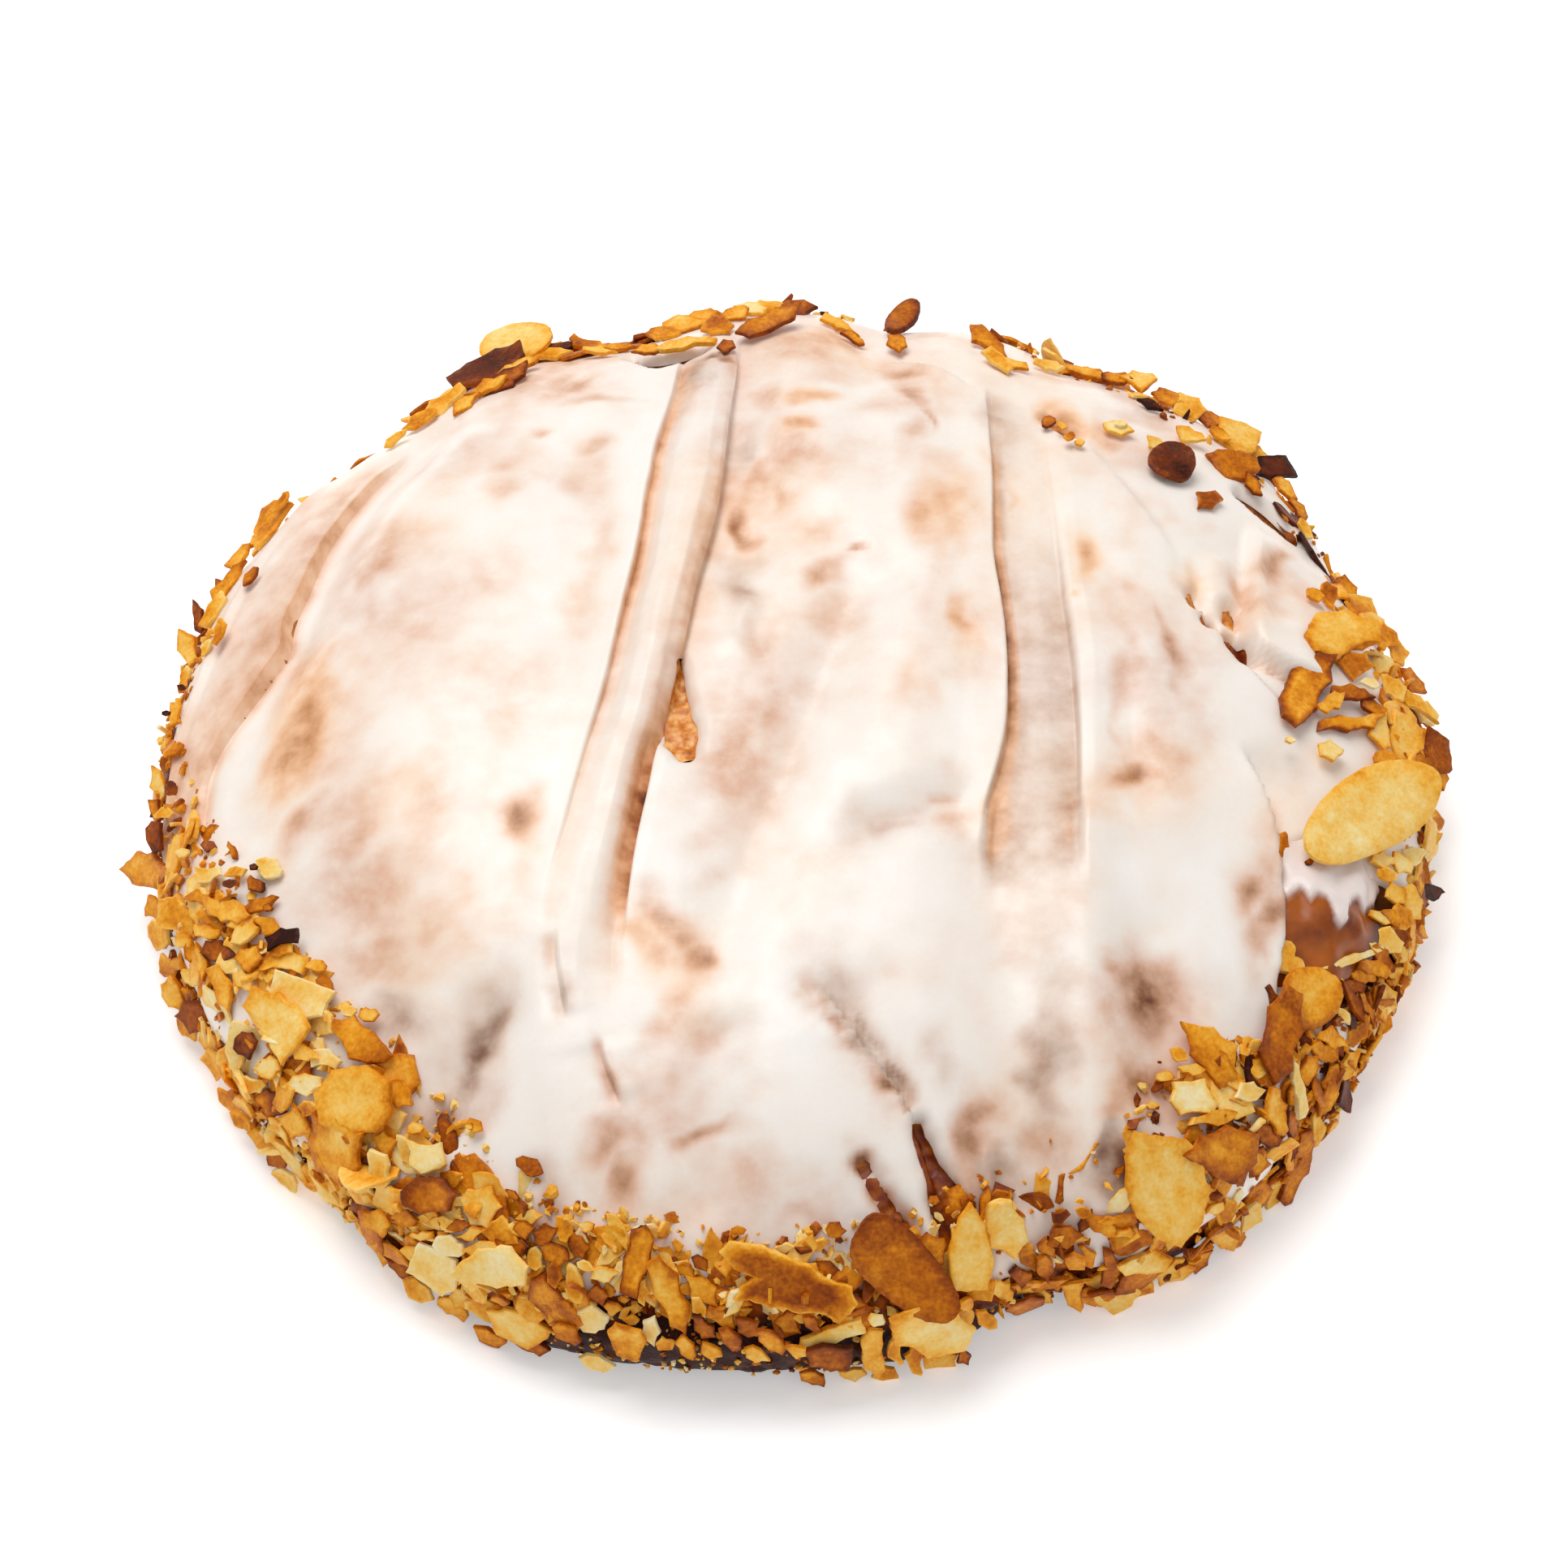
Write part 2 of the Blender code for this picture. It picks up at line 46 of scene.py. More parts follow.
# The dome.
dome = {
    "radius": 76.0,
    "height": 31.5,
    "wallHeight": 7.0,      # the side is widest here
    "sideTuck": 2.5,        # pulled in at the base
    "squareness": 3.0,
    # bulges (+) and notches (-): direction and half-width in degrees, height
    "outline": [(250, 17, 2.4), (291, 6, -2.6), (306, 8, 1.4), (331, 9, -1.0), (5, 6, 0.9),
                (22, 7, -2.0), (44, 10, 1.8), (60, 5, -1.6), (80, 5, -2.4), (107, 8, -3.2),
                (135, 10, -1.6), (158, 14, 1.2)],
}


def turnedBy(degrees, centre):
    return (degrees - centre + 180.0) % 360.0 - 180.0


def bell(distance, halfWidth):
    return np.exp(-(distance / halfWidth) ** 2)


def ease(low, high, value):
    share = np.clip((value - low) / (high - low), 0.0, 1.0)
    return share * share * (3.0 - 2.0 * share)


def turned(offset, degrees):
    # Offsets in plan, turned anticlockwise.
    c, s = math.cos(math.radians(degrees)), math.sin(math.radians(degrees))
    return offset[:, 0] * c - offset[:, 1] * s, offset[:, 0] * s + offset[:, 1] * c


def softNoise(points, size, seed):
    # Smooth noise from -1 to 1 with lumps of about this size in mm.
    grid = np.asarray(points, float) / size + 511.0
    cell = np.floor(grid).astype(np.int64)
    local = grid - cell
    blend = local * local * (3.0 - 2.0 * local)
    total = np.zeros(len(grid))
    for corner in range(8):
        step = np.array([corner & 1, corner >> 1 & 1, corner >> 2 & 1])
        place = cell + step
        key = (place[:, 0] * 374761393 + place[:, 1] * 668265263 + place[:, 2] * 1103515245
               + seed * 97531357) & 0xFFFFFFFF
        key = ((key ^ (key >> 13)) * 1274126177) & 0xFFFFFFFF
        key = ((key ^ (key >> 15)) * 1103515245) & 0xFFFFFFFF
        value = (key ^ (key >> 16)) / 0xFFFFFFFF * 2.0 - 1.0
        total += value * np.prod(np.where(step == 1, blend, 1.0 - blend), axis=1)
    return total


def outlineRadius(angle):
    degrees = np.degrees(angle)
    radius = np.full(np.shape(angle), dome["radius"])
    for direction, halfWidth, height in dome["outline"]:
        radius = radius + height * bell(turnedBy(degrees, direction), halfWidth)
    return radius


def sideFraction(height):
    wall, top = dome["wallHeight"], dome["height"]
    low = 1.0 - dome["sideTuck"] / dome["radius"] * ((wall - height) / wall) ** 2
    climb = np.clip((height - wall) / (top - wall), 0.0, 1.0)
    high = (1.0 - climb ** 2) ** (1.0 / dome["squareness"])
    return np.where(height < wall, low, high)


slopeHeights = dome["height"] * np.sin(np.linspace(0.0, math.pi / 2, 600))
slopeFractions = sideFraction(slopeHeights)
slopeLengths = np.concatenate([[0.0], np.cumsum(np.hypot(
    np.diff(slopeHeights), dome["radius"] * np.diff(slopeFractions)))])
slopeTotal = slopeLengths[-1]


def flat(points):
    # Plan points on the top, unrolled: as far from the middle as the way over the dome.
    points = np.asarray(points, float).reshape(-1, 2)
    angle = np.arctan2(points[:, 1], points[:, 0])
    fraction = np.clip(np.hypot(points[:, 0], points[:, 1]) / outlineRadius(angle), 0.0, 0.9999)
    wall, top = dome["wallHeight"], dome["height"]
    height = wall + (top - wall) * np.sqrt(1.0 - fraction ** dome["squareness"])
    reach = slopeTotal - np.interp(height, slopeHeights, slopeLengths)
    return np.stack([reach * np.cos(angle), reach * np.sin(angle)], 1)


def domePoints(unrolled):
    angle = np.arctan2(unrolled[:, 1], unrolled[:, 0])
    climbed = slopeTotal - np.hypot(unrolled[:, 0], unrolled[:, 1])
    height = np.interp(climbed, slopeLengths, slopeHeights)
    radius = outlineRadius(angle) * np.interp(climbed, slopeLengths, slopeFractions)
    return np.stack([radius * np.cos(angle), radius * np.sin(angle), height], 1)


def domeFrame(unrolled):
    # Point, outward normal and the two directions along the surface.
    step = 0.25
    here = domePoints(unrolled)
    alongX = domePoints(unrolled + (step, 0.0)) - domePoints(unrolled - (step, 0.0))
    alongY = domePoints(unrolled + (0.0, step)) - domePoints(unrolled - (0.0, step))
    normal = np.cross(alongX, alongY)
    normal /= np.linalg.norm(normal, axis=1, keepdims=True) + 1e-12
    alongX /= np.linalg.norm(alongX, axis=1, keepdims=True) + 1e-12
    return here, normal, alongX, np.cross(normal, alongX)


def fromSlope(degrees, climbed):
    angle = np.radians(degrees)
    reach = slopeTotal - climbed
    return np.stack([reach * np.cos(angle), reach * np.sin(angle)], 1)


# The camera looks at the target from this height above the level.
camera = {"target": (-1.2, -8.0, 21.5), "distance": 620.0, "elevation": 52.0, "pixelsPerMm": 10.38,
          "imageWidth": 1932, "sensor": 36.0}


def cameraAxes():
    tilt = math.radians(camera["elevation"])
    back = np.array([0.0, -math.cos(tilt), math.sin(tilt)])
    right = np.array([1.0, 0.0, 0.0])
    return right, np.cross(back, right), back


def cameraPlace():
    return np.array(camera["target"]) + cameraAxes()[2] * camera["distance"]


def seenRay(x, y):
    # From the camera through a place in its view of 1932 pixels, in mm.
    right, up, back = cameraAxes()
    middle = camera["imageWidth"] / 2
    reach = camera["pixelsPerMm"] * camera["distance"]
    ahead = right * (x - middle) / reach + up * (middle - y) / reach - back
    return cameraPlace(), ahead / np.linalg.norm(ahead)


def seenAt(points):
    # Where points show in that view.
    right, up, back = cameraAxes()
    offset = points - cameraPlace()
    scale = camera["pixelsPerMm"] * camera["distance"] / -(offset @ back)
    middle = camera["imageWidth"] / 2
    return np.stack([middle + (offset @ right) * scale, middle - (offset @ up) * scale], 1)


def smoothRoute(route):
    # Rounds a route's corners, and unrolls it.
    line = np.asarray(route, float)
    for _ in range(2):
        near = 0.75 * line[:-1] + 0.25 * line[1:]
        far = 0.25 * line[:-1] + 0.75 * line[1:]
        line = np.concatenate([line[:1], np.stack([near, far], 1).reshape(-1, 2), line[-1:]])
    return flat(line)


def alongRoute(points, line):
    # Distance, share of the way along, and side (+ on the left of its run) for each point.
    nearest = np.full(len(points), 1e9)
    share, side = np.zeros(len(points)), np.zeros(len(points))
    lengths = np.hypot(*np.diff(line, axis=0).T)
    done = 0.0
    for start, end, length in zip(line, line[1:], lengths):
        if length < 1e-6:
            continue
        ahead = (end - start) / length
        offset = points - start
        passed = np.clip(offset @ ahead, 0.0, length)
        away = np.hypot(*(offset - passed[:, None] * ahead).T)
        closer = away < nearest
        nearest = np.where(closer, away, nearest)
        share = np.where(closer, (done + passed) / lengths.sum(), share)
        side = np.where(closer, np.sign(ahead[0] * offset[:, 1] - ahead[1] * offset[:, 0]), side)
        done += length
    return nearest, share, side


# Folds of the dough.
# Soft ridges (+) and valleys (-): route in plan, half-width, height.
softFolds = [
    ([(-38, 34), (-42, 6), (-40, -26)], 15, 1.2),
    ([(16, 44), (16, 12), (12, -12)], 7, 1.0),
    ([(8, 14), (1, -10), (-5, -28), (-9, -40)], 4.5, -1.2),
    ([(42, 26), (44, 0), (42, -18)], 6, 0.8),
    ([(33, -21), (33, -40), (34, -62)], 4.5, 1.7),
    ([(-6, -44), (0, -60)], 8, 1.2),
    ([(-35, -46), (-40, -54)], 4.2, -2.0),
    ([(-45, 47), (-53, 33), (-59, 16), (-64, 4), (-65, -14)], 4.0, -1.3),
    ([(22, -27), (25, -45), (23, -62)], 5.5, -1.5),
    ([(41, -34), (42, -52)], 4.5, -0.9),
    ([(-26, -30), (-28, -44), (-24, -60)], 5.0, 0.8),
    ([(-8, -50), (-10, -66)], 3.5, -0.9),
    ([(-2, 36), (-4, 22), (-6, 8)], 3.5, -1.0),
    ([(9, 62), (16, 50), (19, 40)], 4.0, -0.7),
    ([(0, 62), (2, 48), (4, 30)], 5.0, 0.7),
    ([(10, -21), (19, -18)], 3.5, -1.3),
    ([(46, 10), (46, 0)], 3.0, -0.5),
    ([(38, -2), (40, -16)], 3.0, -0.5),
    ([(-28, 56), (-26, 30), (-28, 8)], 5.0, -0.6),
    ([(-50, -30), (-46, -42)], 6.0, -0.7),
    ([(51.2, 21.5), (51.4, 16.5)], 1.9, 1.1),
    ([(57.6, 22), (58.2, 15)], 2.6, -0.9),
    ([(-5.6, 12), (-7.2, 6)], 2.0, 0.9),
]

# Sheet edges that lie over their neighbour: route, side that is high (+ on the left of the
# run), rise and its width, drop beside it and its width, how soft the step is.
sheetEdges = [
    ([(9, 16), (7, 8), (1.3, -10.4), (-4.7, -25.2), (-5.7, -34), (-8.5, -40)], 1, 0.15, 5, 0.35, 6,
     3.5),
    ([(2, -42), (4, -45), (7.4, -50), (10.6, -54.1), (13, -57.5), (17, -67)], -1, 0.9, 5, 1.7, 4, 0.9),
    ([(52, -6), (55.6, -13.6), (56.6, -19.4), (56.8, -25.6), (56.5, -31.6), (55.2, -36.8), (56, -42)],
     -1, 0.9, 4, 2.4, 6, 0.8),
    ([(55.6, 33), (55.2, 24.4), (54.9, 16.9), (54.3, 10.6), (54.8, 8.2), (57.5, 6.6), (60.5, 5.3),
      (66, 4.6)], 1, 2.2, 9, 1.3, 2.6, 1.7),
    ([(47.4, 20.5), (48.1, 15.8), (49.9, 12.1), (52.7, 8.2), (56.3, 2.7), (61, -2)], -1, 0.5, 4, 0.8, 3,
     0.8),
    ([(-21.9, -49.5), (-21.2, -52.5), (-19.1, -56.8)], 1, 0.6, 2.5, 0.5, 3, 0.6),
    ([(28, 50), (35, 43), (43.7, 27), (47.5, 18)], -1, 0.3, 4, 0.5, 4, 1.6),
    ([(-27, -36), (-26.6, -41), (-25.4, -47)], 1, 0.4, 2, 0.6, 2, 0.6),
    ([(10.5, 57), (17, 56), (22, 50.5)], -1, 0.5, 3, 0.6, 3, 0.8),
]

# Long pleats. The profile gives heights at places across: below 0 is mm to the left of the
# left line, 0 to 10 is from line to line, above 10 is mm to the right of the right line.
# Each station is a place in y with its profile and how thin the icing is across it; the thinness
# also paints the shade in the creases and at the foot of the steps.
pleats = {
    "leftStrip": {
        "left": [
            (-57.6, 43.4), (-62.8, 33.2), (-67, 24.4), (-69.4, 17), (-71.4, 10.3), (-73.6, 2.3),
            (-74.2, -4), (-74.5, -10.3),
        ],
        "right": [
            (-48.5, 44), (-52, 39.2), (-55.2, 33.3), (-57.7, 28.2), (-60.1, 19.6), (-61.8, 15.4),
            (-61.6, 11.5), (-63.4, 9), (-66.1, 4), (-69, -1.2), (-70.2, -5), (-70.5, -10.6), (-70, -17),
        ],
        "stations": [
            (46, [(-6, 0), (22, 0)], [(-6, 0.2), (22, 0)]),
            (38,
             [(-9, -0.5), (-2, 0), (0, 0.8), (1.2, 0), (6, 0.1), (9, 0.5), (10, 0.6), (10.3, -0.9),
              (13, -1.0), (20, 0)],
             [(-8, 0.12), (-1, 0.22), (0, 0.26), (1, 0.24), (4, 0.36), (8.5, 0.5), (9.6, 0.4),
              (10, 0.62), (11, 0.3), (12, 0.05)]),
            (12,
             [(-9, -0.5), (-2, 0.1), (0, 1.0), (1.2, 0), (6, 0.2), (9, 0.9), (10, 1.0), (10.3, -1.3),
              (13, -1.3), (20, 0)],
             [(-8, 0.12), (-1, 0.22), (0, 0.28), (1.2, 0.26), (4.5, 0.4), (8, 0.52), (9.5, 0.5),
              (10.1, 0.66), (11, 0.3), (12, 0.05)]),
            (-8,
             [(-9, -0.5), (-2, 0), (0, 0.8), (1.5, 0.1), (8, 0.2), (10, 0.4), (10.5, -0.7), (14, -0.8),
              (20, 0)],
             [(-8, 0.3), (0, 0.5), (1.2, 0.62), (6, 0.55), (9.5, 0.55), (10.2, 0.55), (12, 0.1),
              (15, 0.0)]),
            (-20, [(-6, 0), (22, 0)], [(-6, 0.2), (22, 0)]),
        ],
        "overhang": 0.15,
    },
    "longRoll": {
        "left": [
            (-14.2, 56), (-15.4, 46), (-17.2, 36.8), (-17.5, 32.4), (-18, 30), (-18.6, 22),
            (-20.9, 8.3), (-22.4, -1.7), (-24.4, -10.1), (-25.7, -16.4), (-26.9, -22.6), (-28.6, -30.2),
            (-29.2, -38),
        ],
        "right": [
            (-7.2, 54), (-8, 45), (-8.5, 38), (-9.4, 27.4), (-10.8, 20), (-12.3, 13), (-13.2, 6),
            (-14.4, -1), (-15.3, -8), (-16.5, -11.5), (-17.1, -16.5), (-18.1, -21.9), (-18.9, -28),
            (-19.7, -38),
        ],
        "stations": [
            (60, [(-5, 0), (17, 0)], [(-5, 0.1), (17, 0.1)]),
            (52,
             [(-5, 0), (-1, 0.3), (0, 0.4), (0.6, -0.3), (3, 0.5), (6, 1.1), (9, 0.8), (10, 0.3),
              (10.5, -0.8), (13, -0.7), (17, 0)],
             [(-3, 0.1), (0, 0.2), (0.8, 0.7), (3, 0.6), (6, 0.35), (8, 0.25), (9.5, 0.45), (10.5, 0.3),
              (14, 0.1)]),
            (38,
             [(-5, 0), (-1, 0.5), (0, 0.7), (0.3, -0.4), (1.6, -0.4), (3.2, 0.7), (5.5, 1.6), (8, 1.6),
              (9.5, 1.1), (10, 0.5), (10.4, -1.2), (12.5, -1.1), (17, 0)],
             [(-3, 0), (-0.1, 0.05), (0.3, 0.7), (0.9, 0.6), (1.9, 0.26), (5, 0.15), (8, 0.2),
              (9.3, 0.34), (10.2, 0.45), (13, 0.35), (16, 0.1)]),
            (15,
             [(-5, 0), (-1, 0.5), (0, 0.8), (0.3, -0.5), (1.8, -0.4), (3.4, 0.8), (5.5, 1.6), (8, 1.5),
              (9.3, 0.9), (10, 0.0), (10.4, -1.2), (12.5, -1.0), (17, 0)],
             [(-3, 0), (-0.1, 0.05), (0.3, 0.75), (1.0, 0.6), (2.1, 0.22), (5, 0.14), (8.0, 0.2),
              (9.0, 0.42), (10, 0.6), (11, 0.3), (15, 0.1)]),
            (0,
             [(-5, 0), (-1, 0.4), (0, 0.6), (0.4, -0.3), (2, -0.1), (4, 0.9), (6, 1.3), (8, 1.1),
              (9.3, 0.7), (10, 0.2), (10.4, -0.7), (12.5, -0.6), (17, 0)],
             [(-3, 0), (-0.1, 0.05), (0.3, 0.55), (0.9, 0.4), (2.6, 0.2), (6, 0.18), (8, 0.4),
              (9, 0.45), (10, 0.6), (11, 0.3), (15, 0.1)]),
            (-14,
             [(-5, 0), (-1, 0.15), (0, 0.25), (0.5, 0.0), (2, 0.2), (4, 0.7), (6, 0.8), (7.6, 0.3),
              (8.6, -0.9), (10, -1.4), (10.25, 0.35), (11.5, 0.45), (17, 0)],
             [(-3, 0), (0, 0.1), (0.4, 0.4), (1.2, 0.26), (4, 0.14), (6.5, 0.2), (7.6, 0.5), (8.4, 0.8),
              (9.9, 0.95), (10.25, 0.1), (12, 0)]),
            (-30,
             [(-5, 0), (-1, 0.0), (0, 0.05), (0.8, 0.0), (2, 0.15), (4, 0.5), (6, 0.5), (7.6, 0.0),
              (8.6, -0.7), (10, -1.0), (10.25, 0.3), (11.5, 0.4), (17, 0)],
             [(-3, 0), (0, 0.08), (0.6, 0.2), (2, 0.2), (4, 0.12), (6.5, 0.16), (7.8, 0.5), (8.6, 0.75),
              (9.9, 0.88), (10.25, 0.1), (12, 0)]),
            (-38, [(-5, 0), (0, 0.1), (2, 0), (5, 0.2), (9, -0.2), (10.5, 0.1), (17, 0)],
             [(-3, 0), (1, 0.2), (5, 0.15), (9, 0.35), (12, 0)]),
            (-48, [(-5, 0), (17, 0)], [(-5, 0.02), (17, 0.02)]),
        ],
        "overhang": 0.45,
    },
    "sunkStrip": {
        "left": [
            (23.6, 48), (24.2, 35.6), (23.9, 25.1), (23.8, 19.2), (24.5, 13.6), (25.1, 8.1),
            (25.1, -1.6), (24.7, -7.7), (23.4, -13.6), (21.9, -18.4), (21.3, -24),
        ],
        "right": [
            (31.2, 46), (31.4, 36), (31.9, 29.3), (32.6, 15.5), (33.2, 6.8), (33.6, -2.3),
            (33.4, -15.4), (32.8, -24),
        ],
        "stations": [
            (52, [(-5, 0), (17, 0)], [(-5, 0.05), (17, 0.05)]),
            (46,
             [(-5, 0), (-1.2, 0.2), (0, 0.2), (1.0, -0.35), (5, -0.5), (8.5, -0.4), (11, 0.0), (15, 0)],
             [(-3, 0), (-0.2, 0.1), (0.4, 0.5), (3, 0.4), (8, 0.18), (10, 0.1), (12, 0)]),
            (30,
             [(-5, 0), (-1.2, 0.3), (0, 0.35), (0.6, -0.7), (2, -0.8), (6, -0.6), (9.0, -0.5),
              (10.4, 0.0), (12, 0.2), (16, 0)],
             [(-3, 0), (-0.1, 0.1), (0.3, 0.62), (1.3, 0.5), (2.6, 0.2), (6, 0.13), (9.6, 0.16),
              (10.1, 0.05), (12, 0)]),
            (6,
             [(-5, 0), (-1.2, 0.4), (0, 0.5), (0.4, -1.4), (2, -1.3), (6, -1.0), (9.3, -1.0),
              (10.3, 0.1), (12, 0.4), (16, 0)],
             [(-3, 0), (-0.1, 0.1), (0.3, 0.95), (1.3, 0.82), (2.2, 0.36), (5, 0.3), (7, 0.36),
              (9.6, 0.42), (10.1, 0.1), (12, 0)]),
            (-14,
             [(-5, 0), (-1.2, 0.3), (0, 0.4), (0.6, -0.9), (2, -1.0), (6, -0.8), (9.6, -0.9), (10, 0.3),
              (11.5, 0.5), (16, 0)],
             [(-3, 0), (-0.1, 0.1), (0.5, 0.66), (1.6, 0.56), (4, 0.36), (7, 0.36), (9.6, 0.46),
              (10.2, 0.05), (12, 0)]),
            (-22, [(-5, 0), (0, 0.1), (1.5, -0.5), (6, -0.4), (9.6, -0.5), (10.6, 0.3), (16, 0)],
             [(-3, 0), (0, 0.2), (1.2, 0.7), (3.5, 0.5), (6, 0.3), (9, 0.6), (10.6, 0.1), (12, 0)]),
            (-32, [(-5, 0), (17, 0)], [(-5, 0), (3, 0.15), (8, 0.2), (17, 0)]),
        ],
        "overhang": 0.0,
    },
}
for pleat in pleats.values():
    pleat["leftLine"] = smoothRoute(pleat["left"])
    pleat["rightLine"] = smoothRoute(pleat["right"])


def lineAt(line, y):
    order = np.argsort(line[:, 1])
    return np.interp(y, line[order, 1], line[order, 0])


def acrossPleat(pleat, points):
    left = lineAt(pleat["leftLine"], points[:, 1])
    right = lineAt(pleat["rightLine"], points[:, 1])
    inside = (points[:, 0] - left) / (right - left) * 10.0
    place = np.where(points[:, 0] < left, points[:, 0] - left, inside)
    return np.where(points[:, 0] > right, points[:, 0] - right + 10.0, place)


def pleatValue(pleat, points, part):
    # part 1 is the height, part 2 how thin the icing is, with painted shade in creases
    place = acrossPleat(pleat, points)
    stations = sorted(pleat["stations"])
    levels = []
    for station in stations:
        x = lineAt(np.array(pleat["left"], float), station[0])
        levels.append(flat([(x, station[0])])[0, 1])
    values = [np.interp(place, *np.array(station[part], float).T) for station in stations]
    result = np.where(points[:, 1] <= levels[0], values[0], 0.0)
    result = np.where(points[:, 1] >= levels[-1], values[-1], result)
    for low, high, below, above in zip(levels, levels[1:], values, values[1:]):
        here = (points[:, 1] > low) & (points[:, 1] < high)
        mix = ease(low, high, points[:, 1])
        result = np.where(here, below * (1.0 - mix) + above * mix, result)
    return result


def foldFade(climbed):
    # The folds run out down the side.
    return ease(3.0, 12.0, climbed)


def foldHeight(unrolled):
    height = np.zeros(len(unrolled))
    for route, halfWidth, rise in softFolds:
        away, _, _ = alongRoute(unrolled, smoothRoute(route))
        height += rise * bell(away, halfWidth)
    for route, highSide, rise, riseWidth, drop, dropWidth, softness in sheetEdges:
        away, share, side = alongRoute(unrolled, smoothRoute(route))
        signed = away * side * highSide
        step = ease(-0.5 * softness, 0.5 * softness, signed)
        ends = ease(0.0, 0.18, share) * ease(0.0, 0.18, 1.0 - share)
        high = rise * np.exp(-np.abs(signed) / riseWidth)
        low = -drop * np.exp(-np.abs(signed) / dropWidth)
        height += ends * (step * high + (1.0 - step) * low)
    for pleat in pleats.values():
        height += pleatValue(pleat, unrolled, 1)
    return height


# Openings in the icing.
# Route in plan with a half-width at each point, the depth of the hollow under it, and how
# much darker or paler (-) than the others the dough in it is.
cracks = {
    "goldenGap": ([(-13.8, 2.5, 0.5), (-13.7, -1, 0.9), (-13.6, -4.0, 1.4), (-13.4, -7.0, 1.9),
                   (-13.2, -9.4, 2.0), (-12.6, -11.2, 1.2)], 1.0, -0.2),
    "frontSplit": ([(13.9, -58.8, 0.8), (14.5, -60.4, 1.1), (15.7, -63.1, 1.5), (17.0, -65.2, 2.1),
                    (18.5, -67.4, 2.6), (19.2, -70.4, 2.8)], 1.5, 0.12),
    "frontBranch": ([(7.6, -63.2, 0.62), (8.7, -65.0, 0.78), (9.9, -66.6, 0.85), (11.2, -68.0, 0.9),
                     (12.4, -69.6, 0.9)], 0.9, 0.16),
    "blockHoleUpper": ([(47.8, 15.6, 0.7), (48.3, 14.2, 0.75)], 0.8, -0.05),
    "blockHoleMiddle": ([(49.4, 12.6, 0.65), (49.8, 11.7, 0.8)], 1.0, 0.05),
    "blockHoleRight": ([(52.7, 14.8, 0.75), (52.8, 13.4, 0.8)], 0.8, -0.1),
    "blockHoleDark": ([(52.6, 10.0, 1.0), (53.2, 8.9, 1.5), (53.9, 7.5, 1.2)], 1.4, 0.3),
    "knobHole": ([(16.9, 65, 0.6), (18.1, 65, 0.6)], 2.0, 0.0),
    "crustHole": ([(55.6, 37.2, 0.9), (58.5, 35.4, 1.7), (61.5, 33.5, 1.5)], 1.6, 0.0),
    "flecksUpper": ([(31.6, 46.2, 0.35), (32.4, 44.6, 0.7), (34.3, 42.6, 0.8)], 0.7, 0.0),
    "backGap": ([(-20, 59.5, 0.6), (-16.5, 57.5, 1.6), (-12.2, 59, 1.2)], 2.0, 0.0),
}
windows = {
    "sideWindow": ([(62.3, -21.5, 4.7), (62.8, -24.5, 5.4), (64, -28, 5.8), (66, -31.5, 5.0)], 5.5,
                   0.0),
    "sideWindowOuter": ([(70, -22.5, 4.4), (71, -25, 5.4), (70, -28, 6.0)], 5.5, 0.0),
}


def openingDistance(unrolled, chosen):
    # Signed distance in mm from the edge of the nearest one, and its depth.
    nearest = np.full(len(unrolled), 1e9)
    depth = np.zeros(len(unrolled))
    ragged = 0.2 * softNoise(np.c_[unrolled, np.zeros(len(unrolled))], 1.7, 5)
    for route, hollow, _ in chosen.values():
        line = np.array(route, float)
        away, share, _ = alongRoute(unrolled, flat(line[:, :2]))
        steps = np.concatenate([[0.0], np.cumsum(np.hypot(*np.diff(flat(line[:, :2]), axis=0).T))])
        gap = away - np.interp(share * steps[-1], steps, line[:, 2]) - ragged * (away < 3.0)
        closer = gap < nearest
        nearest = np.where(closer, gap, nearest)
        depth = np.where(closer, hollow, depth)
    return nearest, depth


